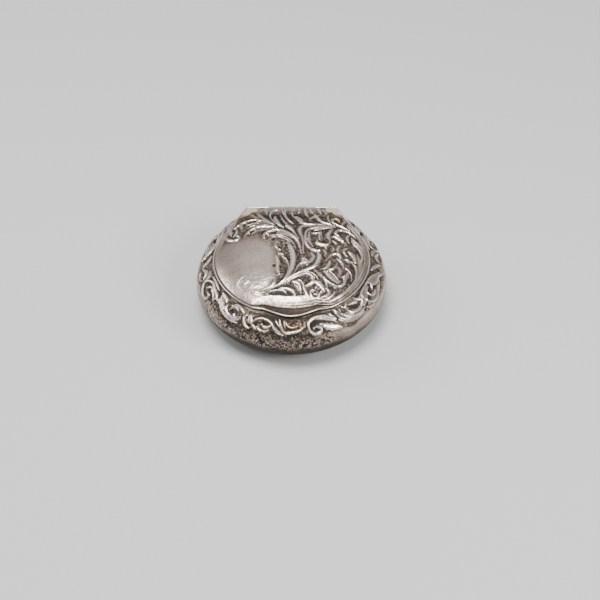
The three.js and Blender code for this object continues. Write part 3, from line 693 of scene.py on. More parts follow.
# Height of the lid's chasing over the plain dome: the leaves, the shield (a superellipse) and border which
# stand plain over the ground, the ground's punched noise, and the dents, grooves and pits taken away.
def lidHeight(x, y, angle, radius):
    shape = lidRelief
    cx, cy, rx, ry = shape["shield"]
    reach = (np.abs((x - cx) / rx) ** 2.5 + np.abs((y - cy) / ry) ** 2.5) ** 0.4
    oval = 1 - ease(reach, *shape["shieldEdge"])
    full, none = np.radians(shape["frontSpan"])
    none = none - math.radians(shape["frontTaper"]) * ease(np.cos(angle), 0, 0.4)
    front = 1 - ease(awayFromFront(angle), full, none)
    back = ease(np.sin(angle), 0.55, 0.8)
    width = shape["border"] + (shape["frontBorder"] - shape["border"]) * front
    width += (shape["backBorder"] - width) * back
    edge = domeFoot(angle, lid["inset"]) - radius
    border = 1 - ease(edge, width - 0.3, width + 0.2)
    plain = np.maximum(oval, border)

    strokes = strokeField(x, y, lidStrokes + lidBodies, shape["spread"])
    leaves = shape["leafShare"] * strokes + shape["skirtShare"] * blur(strokes, 2)
    ground = 1 - ease(strokes, 0.02, 0.12)
    height = leaves * (1 - 0.5 * border) + shape["plainRise"] * plain * (1 - 0.4 * ease(leaves, 0, 0.3))
    height += shape["shieldBulge"] * np.clip(1 - reach**2, 0, 1)

    gx, gy = x + 40, y + 40        # where the noise is read
    punched = cloud(gx, gy, 0.33, 3) + 0.7 * cloud(gx, gy, 0.19, 4) - 0.85
    height += shape["matting"] * punched * (1 - plain) * ground
    scored = sum(bell(edge - groove, shape["grooveWidth"]) for groove in shape["grooves"])
    right = ease(np.cos(angle - math.radians(shape["grooveMiddle"])), 0.2, 0.6)
    height -= shape["grooveDepth"] * scored * right * border
    dimpled = sum(depth * (cloud(gx, gy, size, seed) - 0.5) for size, depth, seed in shape["dimples"])
    height += dimpled * plain * (1 - ease(y, -11, -3))
    for depth, size, (px, py) in lidPits:
        height -= depth * bell(x - px, size) * bell(y - py, size) * ground

    swell = shape["backSwell"] * ease(y, 12.5, 17.3) * np.exp(-(((x + 0.5) / 8) ** 4)) * ease(edge, 0, 1.2)
    height = np.maximum((height - shape["sink"]) * ease(edge, 0, 0.3), -shape["deepest"])
    return height + swell, plain, strokes


lidTone = {
    "crest": 0.32,                       # the tops of the leaves are rubbed brighter
    "foot": (0.3, 0.22),                 # dark line along the dome's foot: how dark and how wide
    "aboveLip": 0.18,                    # darker low on the dome just above the lip
    "rightFrontShade": 0.2,                   # painted shade on the plain border at the right of the front, where the highlight ends
    "shieldHighlight": (0.25, -8.5, -9, 3.2, 2.4),   # painted highlight low on the shield: how bright, place and half sizes
    "toning": (0.75, 11, 14.8, 2.2, 2.6),   # golden corners by the hinge: how strong, place and half sizes
    "inside": 0.62,
}


# The square grid is carried onto a disc by the elliptical map: x = u*sqrt(1 - v*v/2), y = v*sqrt(1 - u*u/2).
# The outside is dome plus chasing, and the inside is a plain dome of rings one sheet thickness below it.
def makeLidShell():
    cells = lidRelief["cells"]
    u, v = np.meshgrid(np.linspace(-1, 1, cells), np.linspace(-1, 1, cells), indexing="xy")
    discX, discY = u * np.sqrt(1 - v * v / 2), v * np.sqrt(1 - u * u / 2)
    share, angle = np.minimum(np.hypot(discX, discY), 1), np.arctan2(discY, discX)
    foot = domeFoot(angle, lid["inset"])
    radius = share * foot
    x, y = radius * np.cos(angle), radius * np.sin(angle)
    relief, plain, leaves = lidHeight(x, y, angle, radius)
    dome = (1 - share ** lid["flatness"]) ** lid["steepness"]
    outside = np.stack([x, y, lid["foot"] + lid["rise"] * dome + relief], -1).reshape(-1, 3)

    look = lidTone
    edge = foot - radius
    dark, width = look["foot"]
    tone = toneOf(relief, plain, leaves, 4, look["crest"]) - dark * bell(edge, width)
    # painted shade: the plain front border darkens towards the right, so its highlight ends there
    tone -= look["rightFrontShade"] * plain * ease(x, 2, 8) * (1 - ease(y, -12, -6))
    tone -= look["aboveLip"] * frontShare(angle) * (1 - ease(edge, 0.5, 1.5))
    # painted highlight low on the shield
    bright, px, py, halfX, halfY = look["shieldHighlight"]
    tone += bright * plain * bell(x - px, halfX) * bell(y - py, halfY)
    tone = np.clip(tone, 0.02, 1)

    index = np.arange(cells * cells).reshape(cells, cells)
    boundary = np.concatenate([index[0, :-1], index[:-1, -1], index[-1, :0:-1], index[:0:-1, 0]])
    turn = np.arctan2(outside[boundary, 1], outside[boundary, 0])
    shares = np.sin(np.linspace(math.pi / 2, 0, 15)[:-1])[:, None]
    inner = shares * domeFoot(turn, lid["inset"] + box["sheet"])
    innerDome = (lid["rise"] - box["sheet"]) * (1 - shares ** lid["flatness"]) ** lid["steepness"]
    inside = pointsAt(inner, turn, lid["foot"] + innerDome)
    rings, around = inner.shape
    top = [[0, 0, lid["foot"] + lid["rise"] - box["sheet"]]]
    points = np.vstack([outside, inside, top])

    first = cells * cells
    ringIndex = first + np.arange(rings * around).reshape(rings, around)
    bands = np.vstack([boundary[None], ringIndex])
    following = np.roll(bands, -1, axis=1)
    back = np.stack([bands[1:], following[1:], following[:-1], bands[:-1]], -1).reshape(-1, 4)
    front = gridFaces(cells, cells)
    triangles = fanFaces(ringIndex[-1], len(points) - 1, reverse=True)
    backing = np.concatenate([np.zeros(len(front)), np.ones(len(back) + len(triangles))])
    tones = np.concatenate([tone.ravel(), np.full(len(points) - first, look["inside"])])
    strength, px, py, halfX, halfY = look["toning"]
    warm = strength * bell(np.abs(points[:, 0]) - px, halfX) * bell(points[:, 1] - py, halfY)
    warm *= cloud(points[:, 0] + 40, points[:, 1] + 40, 1.3, 31) > 0.3
    addPiece("lid_cover", points, np.vstack([front, back]), "lid", ["lid_shell"],
             [chasedSilver, washedGilt], triangles, {"tone": tones, "warm": warm}, backing)


rim = {
    "around": 720,
    "topRows": 9,
    "beadRows": 10,
    "undersideRows": 6,
    "bead": 0.19,                        # radius of the rounded edge
    "beadRise": 0.04,                    # how far it stands over the lid's seat
    "topSink": 0.06,
    "underDome": 0.1,                    # how far the top reaches in under the dome's foot
    "dish": 0.3,                         # depth of the hollow for the thumb
    "mouthInset": 1.7,                   # from the edge to the mouth
    "mouthRise": 0.3,                    # height of the step inside the mouth
    # "lip" and "dish" are painted shade in the concave thumb dish, "ears" is a painted highlight on the back
    # corners, and "bead" is the rubbed bright edge with a painted highlight on it.
    "tone": {"top": 0.42, "lip": 0.14, "dish": 0.2, "ears": 0.58, "bead": 0.95, "under": 0.45},
    "earToning": 0.35,
}


# Rows of (radius, height) carried round the lid's plan: the top from under the dome's foot out to the bead,
# dished at the lip, then the rounded bright edge, the underside and the mouth. The ears are its back corners.
def makeLidRim():
    angle = np.linspace(-math.pi, math.pi, rim["around"], endpoint=False)
    front = frontShare(angle)
    lift = lid["lipLift"] * front
    outer = planRadius(angle, 0) + lipOut(angle)
    inner = innerRadius(angle, rim["mouthInset"])
    foot = domeFoot(angle, lid["inset"] + rim["underDome"])
    bead, low, top = rim["bead"], lid["rimBottom"], lid["rimTop"]
    rows = []
    for t in np.linspace(0, 1, rim["topRows"]):
        dish = rim["dish"] * np.sin(math.pi * min(1.1 * t, 1)) * front
        rows.append((foot + (outer - 1.5 * bead - foot) * t, top - rim["topSink"] - dish + lift * t**3))
    for t in np.radians(np.linspace(150, -60, rim["beadRows"])):
        centre = top - bead + rim["beadRise"] + lift
        rows.append((outer - bead + bead * np.cos(t), centre + 1.05 * bead * np.sin(t)))
    for t in np.linspace(0, 1, rim["undersideRows"]):
        rows.append((outer - 2 * bead + (inner - outer + 2 * bead) * t, low + 0.8 * lift * (1 - t) ** 3))
    rows.append((inner, low + rim["mouthRise"]))
    rows.append((inner, top))
    radius = np.array([r for r, _ in rows])
    z = np.array([h + 0 * outer for _, h in rows])
    quads = gridFaces(len(rows), rim["around"], wrapRows=True, wrapColumns=True)[:, ::-1]

    look = rim["tone"]
    tops = rim["topRows"]
    lit = tops + rim["beadRows"] - 2     # the bead's last two rows are its underside
    ears = ease(radius * np.sin(angle), 15, 17.5) * ease(np.abs(radius * np.cos(angle)), 7.5, 9.5)
    across = np.linspace(0, 1, tops)[:, None]
    dishShading = front * np.sin(math.pi * np.minimum(0.25 + 0.8 * across, 1))
    tone = np.full(radius.shape, look["under"])
    # painted shade across the front and in the thumb dish, and a painted highlight on the ears
    tone[:tops] = look["top"] - look["lip"] * front + look["ears"] * ears[:tops] - look["dish"] * dishShading
    # the rounded edge is rubbed bright, with a painted highlight on its lit upper rows; its underside keeps
    # the under tone
    tone[tops:lit] = look["bead"]
    frosted = np.zeros(radius.shape)
    frosted[:tops] = ears[:tops] > 0.5
    addPiece("lid_edge_ring", pointsAt(radius, angle, z), quads, "lid", ["lid_rim"],
             [handledSilver, frostedSilver], attributes={"tone": tone, "warm": rim["earToning"] * ears},
             backing=frosted.ravel(), crease=60)


# The shoulder's chasing, in degrees round the box (-90 is the front) and share of the way from the belly
# seam to the land. It runs round the front half and again round the back half.
bandStrokes = [
    (0.4, (0.15, 0.4, 0.42, 0.38, 0.36, 0.34, 0.36, 0.36, 0.34, 0.34, 0.3, 0.2),
     [(-146, 0.66), (-150, 0.77), (-155, 0.82), (-160, 0.86), (-164, 0.77), (-165, 0.6), (-163, 0.47),
      (-159.5, 0.36), (-156, 0.37), (-154, 0.46), (-154.6, 0.56), (-157, 0.56)]),
    (0.28, (0.2, 0.5, 0.5, 0.2), [(-160.5, 0.62), (-158.5, 0.72), (-154, 0.72), (-149.5, 0.62)]),
    (0.34, (0.15, 0.5, 0.55, 0.25), [(-177, 0.62), (-174, 0.74), (-171, 0.73), (-168, 0.6)]),
    (0.36, (0.2, 0.45, 0.4, 0.15), [(-166, 0.93), (-160, 0.97), (-156, 0.94), (-151, 0.9)]),
    (0.36, (0.2, 0.5, 0.45, 0.2), [(-148, 0.93), (-144, 0.92), (-141, 0.88), (-139, 0.8)]),
    (0.4, (0.15, 0.3, 0.34, 0.34, 0.3, 0.15),
     [(-145.5, 0.78), (-143, 0.68), (-139.5, 0.57), (-135, 0.49), (-130, 0.45), (-125, 0.47)]),
    (0.42, (0.15, 0.42, 0.5, 0.42, 0.3, 0.12),
     [(-137.5, 0.74), (-136, 0.63), (-132, 0.54), (-128, 0.53), (-125, 0.6), (-124.5, 0.7)]),
    (0.3, (0.2, 0.5, 0.4, 0.15), [(-134, 0.84), (-131, 0.92), (-127, 0.9), (-124, 0.82)]),
    (0.42, (0.2, 0.36, 0.36, 0.36, 0.3),
     [(-120.5, 0.8), (-122, 0.72), (-121, 0.6), (-119, 0.5), (-116.5, 0.47)]),
    (0.44, (0.2, 0.42, 0.4, 0.36, 0.36, 0.34, 0.3, 0.15),
     [(-115.6, 0.64), (-114, 0.76), (-110.5, 0.84), (-106.5, 0.83), (-103, 0.76), (-100.5, 0.62),
      (-98.5, 0.52), (-95, 0.46)]),
    (0.38, (0.15, 0.42, 0.4, 0.15), [(-109.5, 0.7), (-107, 0.62), (-104.5, 0.64), (-102.5, 0.72)]),
    (0.42, (0.25, 0.4, 0.36, 0.34, 0.34, 0.3, 0.15),
     [(-98, 0.9), (-96.8, 0.75), (-95.5, 0.6), (-92.5, 0.52), (-89, 0.55), (-85, 0.59), (-80.5, 0.74)]),
    (0.34, (0.15, 0.3, 0.3, 0.12), [(-93.5, 0.86), (-92.5, 0.74), (-89.5, 0.68), (-85.5, 0.72)]),
    (0.25, (0.12, 0.3, 0.26, 0.1), [(-100.8, 0.88), (-99.6, 0.8), (-97.8, 0.7), (-96, 0.62)]),
    (0.22, (0.12, 0.26, 0.24, 0.1), [(-102.2, 0.74), (-101, 0.68), (-99, 0.6), (-96.8, 0.54)]),
    (0.22, (0.1, 0.24, 0.22, 0.1), [(-94.6, 0.93), (-94.6, 0.84), (-94.3, 0.74), (-93.4, 0.64)]),
    (0.34, (0.12, 0.32, 0.3, 0.12), [(-118.6, 0.86), (-117, 0.78), (-115.8, 0.66), (-115.4, 0.54)]),
    (0.32, (0.12, 0.3, 0.3, 0.12), [(-112, 0.58), (-109.5, 0.5), (-106.5, 0.5), (-104, 0.56)]),
    (0.32, (0.12, 0.3, 0.3, 0.12), [(-130.5, 0.74), (-129.5, 0.64), (-127.5, 0.6), (-126, 0.66)]),
    (0.32, (0.12, 0.3, 0.26, 0.1), [(-133.8, 0.7), (-132.8, 0.8), (-130.4, 0.84), (-128, 0.8)]),
    (0.34, (0.12, 0.34, 0.3, 0.1), [(-63.5, 0.93), (-61.8, 0.84), (-61, 0.74), (-61, 0.64)]),
    (0.34, (0.12, 0.3, 0.28, 0.1), [(-52, 0.96), (-51.2, 0.9), (-49.6, 0.84), (-47.6, 0.8)]),
    (0.34, (0.12, 0.34, 0.3, 0.1), [(-39.5, 0.96), (-38.5, 0.88), (-36.5, 0.8), (-34, 0.74)]),
    (0.34, (0.12, 0.32, 0.3, 0.1), [(-36, 0.5), (-33.5, 0.42), (-30.5, 0.39), (-27.5, 0.4)]),
    (0.32, (0.1, 0.28, 0.26, 0.1), [(-22.5, 0.72), (-20.5, 0.78), (-18, 0.8), (-15.4, 0.78)]),
    (0.32, (0.1, 0.3, 0.28, 0.1), [(-149.5, 0.56), (-148, 0.66), (-145.6, 0.7), (-143.4, 0.62)]),
    (0.32, (0.1, 0.28, 0.26, 0.1), [(-168.5, 0.5), (-171, 0.44), (-173.8, 0.46), (-175.6, 0.54)]),
    (0.44, (0.2, 0.34, 0.36, 0.36, 0.36, 0.38, 0.42, 0.42, 0.4, 0.3),
     [(-74, 0.62), (-71.6, 0.6), (-71.2, 0.5), (-74, 0.43), (-77.4, 0.5), (-78.8, 0.66), (-77.4, 0.82),
      (-73, 0.9), (-66, 0.87), (-60, 0.7)]),
    (0.5, (0.3, 0.95, 1.15, 0.85, 0.3),
     [(-71, 0.68), (-67.5, 0.59), (-64, 0.52), (-61, 0.47), (-58, 0.42)]),
    (0.42, (0.15, 0.34, 0.34, 0.12), [(-69.5, 0.82), (-66, 0.76), (-62.5, 0.7), (-60, 0.6)]),
    (0.42, (0.5, 0.5, 0.4, 0.3, 0.12),
     [(-57.8, 0.98), (-58, 0.82), (-56.5, 0.66), (-54, 0.57), (-50, 0.5)]),
    (0.42, (0.15, 0.3, 0.34, 0.34, 0.34, 0.15),
     [(-54.5, 0.93), (-54.6, 0.8), (-53, 0.66), (-49, 0.55), (-43, 0.5), (-37, 0.54)]),
    (0.44, (0.2, 0.36, 0.36, 0.34, 0.34, 0.34, 0.3, 0.15),
     [(-47, 0.93), (-49.8, 0.86), (-49, 0.72), (-46, 0.63), (-42, 0.6), (-38, 0.66), (-34, 0.79),
      (-30, 0.9)]),
    (0.36, (0.15, 0.3, 0.3, 0.12), [(-46.5, 0.88), (-43.5, 0.85), (-40.5, 0.82), (-37.5, 0.86)]),
    (0.44, (0.12, 0.34, 0.36, 0.38, 0.38, 0.36, 0.3, 0.15),
     [(-37, 0.83), (-31, 0.9), (-26, 0.94), (-21, 0.95), (-16, 0.91), (-12, 0.84), (-9, 0.74),
      (-6.5, 0.6)]),
    (0.42, (0.15, 0.34, 0.34, 0.34, 0.34, 0.32, 0.2),
     [(-33, 0.78), (-32.6, 0.62), (-30, 0.49), (-26.5, 0.43), (-22.5, 0.44), (-19.5, 0.53), (-17, 0.6)]),
    (0.42, (0.2, 0.34, 0.34, 0.32, 0.15),
     [(-26, 0.86), (-28, 0.78), (-27.6, 0.65), (-25, 0.58), (-21.5, 0.61)]),
    (0.36, (0.15, 0.6, 0.65, 0.45, 0.15),
     [(-20.5, 0.82), (-17.5, 0.72), (-13.5, 0.69), (-9.5, 0.66), (-6, 0.52)]),
    (0.32, (0.2, 0.5, 0.5, 0.15), [(-7, 0.93), (-4, 0.86), (-1, 0.76), (1.5, 0.62)]),
]

# Low, broad swellings between those crests, where the leaves nearly fill the band.
bandBodies = [
    (0.16, (0.4, 1.0, 1.1, 0.5), [(-58, 0.62), (-53, 0.53), (-47, 0.47), (-40, 0.45)]),
    (0.24, (0.3, 0.7, 0.7, 0.3), [(-56.5, 0.86), (-54, 0.74), (-51, 0.66), (-47, 0.58)]),
    (0.24, (0.3, 0.7, 0.8, 0.5), [(-37, 0.6), (-33, 0.68), (-29, 0.8), (-24, 0.88)]),
    (0.14, (0.4, 0.9, 1.0, 0.5), [(-33, 0.5), (-28, 0.5), (-21, 0.52), (-13, 0.6)]),
    (0.24, (0.3, 0.8, 0.9, 0.5), [(-20, 0.88), (-15, 0.82), (-11, 0.76), (-7, 0.66)]),
    (0.22, (0.3, 0.7, 0.7, 0.3), [(-76, 0.9), (-70, 0.86), (-65, 0.8), (-60, 0.76)]),
    (0.2, (0.3, 0.7, 0.7, 0.3), [(-119, 0.8), (-117.5, 0.7), (-116, 0.6), (-112, 0.5)]),
    (0.2, (0.3, 0.8, 0.8, 0.4), [(-146, 0.86), (-143, 0.78), (-140, 0.68), (-136, 0.6)]),
    (0.2, (0.4, 0.8, 0.7, 0.3), [(-172, 0.88), (-168, 0.82), (-166, 0.7), (-165, 0.55)]),
]

# Dark eyes of the scrolls: depth, half length, half width, slope and place.
bandEyes = [
    (0.24, 1.25, 0.5, -0.35, (-43.5, 0.76)), (0.24, 0.75, 0.55, 0.1, (-25, 0.74)),
    (0.24, 0.7, 0.45, 0.3, (-75.5, 0.72)), (0.2, 0.4, 0.3, 0.0, (-74, 0.56)),
    (0.22, 0.5, 0.5, 0.0, (-4, 0.7)), (0.2, 0.8, 0.3, -0.5, (-53.8, 0.78)),
    (0.22, 0.5, 0.4, 0.0, (-108, 0.72)), (0.2, 0.4, 0.3, 0.0, (-116.5, 0.55)),
    (0.22, 0.5, 0.5, 0.0, (-157, 0.66)), (0.22, 0.5, 0.4, 0.4, (-131, 0.68)),
    (0.2, 0.8, 0.25, 0.0, (-35, 0.95)),
]

bandRelief = {
    "around": 1080,
    "up": 50,
    "sweepMm": 0.36,         # millimetres round the shoulder for each degree
    "climbMm": 6.8,          # millimetres from the belly seam to the land
    "lowest": 0.33,          # the chased band starts at about this share of the way up
    "plainBack": (33, 42),   # degrees from the hinge's middle between which the chasing begins
    "leafShare": 0.5,
    "skirtShare": 0.4,
    "matting": 0.08,
    "pitDepth": 0.07,
    "spread": 0.86,
}


# Height of the shoulder's chasing at an angle round the box and a share of the way up from the seam: leaves
# over a punched ground, less the eyes of the scrolls and the corrosion pits low at the front.
def bandHeight(degrees, share):
    shape = bandRelief
    sweep, climb = shape["sweepMm"], shape["climbMm"]
    away = 1 - arcShare(degrees, 90, *shape["plainBack"])
    folded = (degrees + 180) % 180 - 180      # both halves carry the strokes of -180..0
    runs = [(height, widths, [(a * sweep, s * climb) for a, s in path])
            for height, widths, path in bandStrokes + bandBodies]
    relief = np.zeros(degrees.shape)
    for shift in (-180, 0, 180):
        field = strokeField((folded + shift) * sweep, share * climb, runs, shape["spread"])
        relief = np.maximum(relief, field)
    relief = relief * ease(share, 0.2, 0.36) * away
    leaves = shape["leafShare"] * relief + shape["skirtShare"] * blur(relief, 2, wrap=True)

    x, y = (degrees + 180) * sweep, share * climb
    waist = shape["lowest"] + 0.07 * np.sin(np.radians(degrees * 9)) + 0.04 * np.sin(np.radians(degrees * 23))
    chased = ease(share, waist - 0.05, waist + 0.08) * (1 - ease(share, 0.97, 1)) * away
    punched = shape["matting"] * (cloud(x, y, 0.34, 5) + 0.6 * cloud(x, y, 0.2, 6) - 0.8)
    pits = pitField(x, y, 7, 8, 9) * arcShare(degrees, -94, 18, 40) * (1 - ease(share, 0.3, 0.62))
    height = leaves + (punched - 0.03) * chased * (1 - ease(relief, 0.02, 0.1)) - shape["pitDepth"] * pits
    for depth, long, wide, slope, (a, s) in bandEyes:
        run, rise = (folded - a) * sweep, (share - s) * climb
        along = run * math.cos(slope) + rise * math.sin(slope)
        across = rise * math.cos(slope) - run * math.sin(slope)
        eye = np.exp(-(((along / long) ** 2 + (across / wide) ** 2) ** 2)) * away
        height -= depth * eye
        pits = np.maximum(pits, eye)
    return height * (1 - ease(share, 0.94, 1)), chased, relief, pits


bandTone = {
    "crest": 0.22,                             # the tops of the leaves are rubbed brighter
    "contrast": (1.3, -0.24),                  # factor and shift of the tone of the relief
    "speckle": 0.55,                           # grainy dirt at the left of the front
    "pits": 0.45,
    "leftGround": 0.1,
    "right": 0.09,                             # brighter towards the right
    "polished": (0.3, -63, 0.5, 7, 0.17),      # painted highlight on one leaf: how bright, place and half sizes
    "lipShadow": 0.3,                           # painted shadow cast below the thumb lip
    "low": 0.14,                               # darker towards the belly seam
    "toning": 0.75,                            # golden tarnish below the lip
    "inside": 0.6,
}


def pitShare(degrees):   # the corroded patch on the belly, widest to the left of the front
    return arcShare(degrees, -99, 8, 48)


# Vertex values of the shoulder's outside: tone, golden toning and share of fine pits.
def bandLook(degrees, share, relief, chased, leaves, pits):
    look = bandTone
    x, y = (degrees + 180) * bandRelief["sweepMm"], share * bandRelief["climbMm"]
    factor, shift = look["contrast"]
    tone = factor * toneOf(relief, 1 - chased, leaves, 3, look["crest"], wrap=True) + shift
    left = arcShare(degrees, -112, 32, 62)
    speckle = (cloud(x, y, 0.23, 21) + 0.7 * cloud(x, y, 0.4, 22) - 0.85) * (1 - ease(share, 0.7, 0.95))
    tone += look["speckle"] * speckle * left - look["pits"] * pits - look["leftGround"] * left * (1 - chased)
    right = ease(degrees, -74, -62) * (1 - ease(degrees, 0, 20))
    tone += look["right"] * right * ease(share, 0.1, 0.3) * (1 - 0.4 * ease(share, 0.7, 0.9))
    # painted highlight on one leaf
    bright, place, height, halfTurn, halfHeight = look["polished"]
    tone += bright * bell(degrees - place, halfTurn) * bell(share - height, halfHeight)
    # painted shadow below the thumb lip
    tone -= look["lipShadow"] * arcShare(degrees, -94, 8, 26) * ease(share, 0.72, 0.95)
    tone -= look["low"] * (1 - ease(share, 0, 0.3))
    warm = look["toning"] * arcShare(degrees, -98, 8, 34) * ease(share, 0.3, 0.8) * cloud(x, y, 2.5, 33)
    return np.clip(tone, 0, 1), warm, pitShare(degrees) * (1 - ease(share, 0.2, 0.6))


# Radius and height on the shoulder's wall: a quarter ellipse from the belly, cut short at the land.
def shoulderProfile(angle, share, inset):
    turn = share * box["shoulderTurn"]
    outer = box["bellyRadius"] - inset
    reach = (outer - planRadius(angle, inset)) / (1 - math.cos(box["shoulderTurn"]))
    climb = (box["seatHeight"] - inset - box["bellyHeight"]) / math.sin(box["shoulderTurn"])
    return outer - reach * (1 - np.cos(turn)), box["bellyHeight"] + climb * np.sin(turn)


# Share of the way up the shoulder, on the wall at this inset, that lies at the given height.
def shoulderShare(height, inset):
    climb = (height - box["bellyHeight"]) / (box["seatHeight"] - inset - box["bellyHeight"])
    return math.asin(climb * math.sin(box["shoulderTurn"])) / box["shoulderTurn"]


# Radius and height on a row of the shoulder's closed section: outside, land, its underside, or inside.
def shoulderRow(kind, value, angle):
    if kind == "out":
        return shoulderProfile(angle, value, 0)
    if kind == "in":
        return shoulderProfile(angle, value, box["sheet"])
    edge = 0 if kind == "land" else box["sheet"]
    outer = planRadius(angle, edge)
    mouth = innerRadius(angle, box["landWidth"])
    return outer + (mouth - outer) * value, box["seatHeight"] - edge


# The section is carried round the box. The columns are eased so that two of them lie exactly on the ends of
# the hinge channel, and the faces of the channel are left out and closed by a sill and two end faces.
def makeShoulder():
    around, up, insideRows = bandRelief["around"], bandRelief["up"], 5
    channelHalf = gutterHigh[0] + box["solderGap"]
    channelFloor = gutterLow[2] + box["channelRise"]
    outShare, inShare = shoulderShare(channelFloor, 0), shoulderShare(channelFloor, box["sheet"])
    below = int(up * outShare)
    shares = np.linspace(0, outShare, below, endpoint=False)
    shares = np.concatenate([shares, np.linspace(outShare, 1, up - below)])
    innerShares = np.linspace(1, inShare, insideRows)
    innerShares = np.concatenate([innerShares, np.linspace(inShare, 0, insideRows)[1:]])
    rows = [("out", s) for s in shares] + [("land", t) for t in (0.5, 1.0)]
    rows += [("under", t) for t in (1.0, 0.5)]
    floorRow, innerRow = below, len(rows) + insideRows - 1
    rows += [("in", s) for s in innerShares]

    notch = int(around * box["channelSpan"] / 360 / 2) * 2
    radii, heights, angles = [], [], []
    for kind, value in rows:
        end = math.radians(60)
        for _ in range(30):        # settles on the angle at which this row meets the channel's end
            end = math.acos(channelHalf / float(shoulderRow(kind, value, np.array([end]))[0][0]))
        over = np.linspace(end, math.pi - end, notch + 1)
        rest = np.linspace(math.pi - end, 2 * math.pi + end, around - notch + 1)[1:-1]
        angle = np.concatenate([over, rest])
        radius, height = shoulderRow(kind, value, angle)
        radii.append(radius)
        heights.append(height + 0 * angle)
        angles.append(angle)
    radius, z, angle = np.array(radii), np.array(heights), np.array(angles)

    degrees = (np.degrees(angle[:up]) + 180) % 360 - 180
    share = np.repeat(shares[:, None], around, axis=1)
    relief, chased, leaves, pits = bandHeight(degrees, share)
    slopeR, slopeZ = np.gradient(radius[:up], axis=0), np.gradient(z[:up], axis=0)
    size = np.hypot(slopeR, slopeZ)
    radius[:up] += relief * slopeZ / size
    z[:up] -= relief * slopeR / size
    tone = np.full(radius.shape, bandTone["inside"])
    warm, pitted = np.zeros(radius.shape), np.zeros(radius.shape)
    tone[:up], warm[:up], pitted[:up] = bandLook(degrees, share, relief, chased, leaves, pits)

    count = len(rows)
    quads = gridFaces(count, around, wrapRows=True, wrapColumns=True)
    row, column = np.divmod(np.arange(count * around), around)
    cut = (row >= floorRow) & (row < innerRow) & (column < notch)
    quads = quads[~cut]
    inside = (row >= up + 2)[~cut]
    index = np.arange(count * around).reshape(count, around)
    sill = np.stack([index[floorRow, :notch], index[floorRow, 1:notch + 1],
                     index[innerRow, 1:notch + 1], index[innerRow, :notch]], -1)
    ends = [index[floorRow:innerRow + 1, 0].tolist()[::-1], index[floorRow:innerRow + 1, notch].tolist()]
    backing = np.concatenate([inside, np.zeros(len(sill)), np.zeros(len(ends))])
    addPiece("body_shoulder_band", pointsAt(radius, angle, z), np.vstack([quads, sill]), "body",
             ["body_shoulder"], [chasedSilver, washedGilt], ends,
             {"tone": tone, "warm": warm, "pitted": pitted}, backing)


bowl = {
    "around": 384,
    "up": 56,
    "seam": 0.01,                              # how far the wall stops below the shoulder
    "footHollow": 0.12,                        # the foot is hollow by this at its middle
    "dents": ((6.5, 0.09, 11), (2.2, 0.035, 12)),      # size, depth and noise seed
    "tone": 0.54,
    "spots": 0.3,                              # dark spots where the corrosion reaches down from the band
    "lowShade": (0.28, 0.28, 0.24),                # painted shade low on the wall, standing in for the dark reflection under the belly: all round, at the front, by the pits
    "lowShadeTop": (4.6, 8.4),                     # and the heights between which it ends
    "insideLowDark": 0.2,
    "tarnish": 0.1,
    "footRing": 0.2,                           # bright ring that the box has worn on the table
}


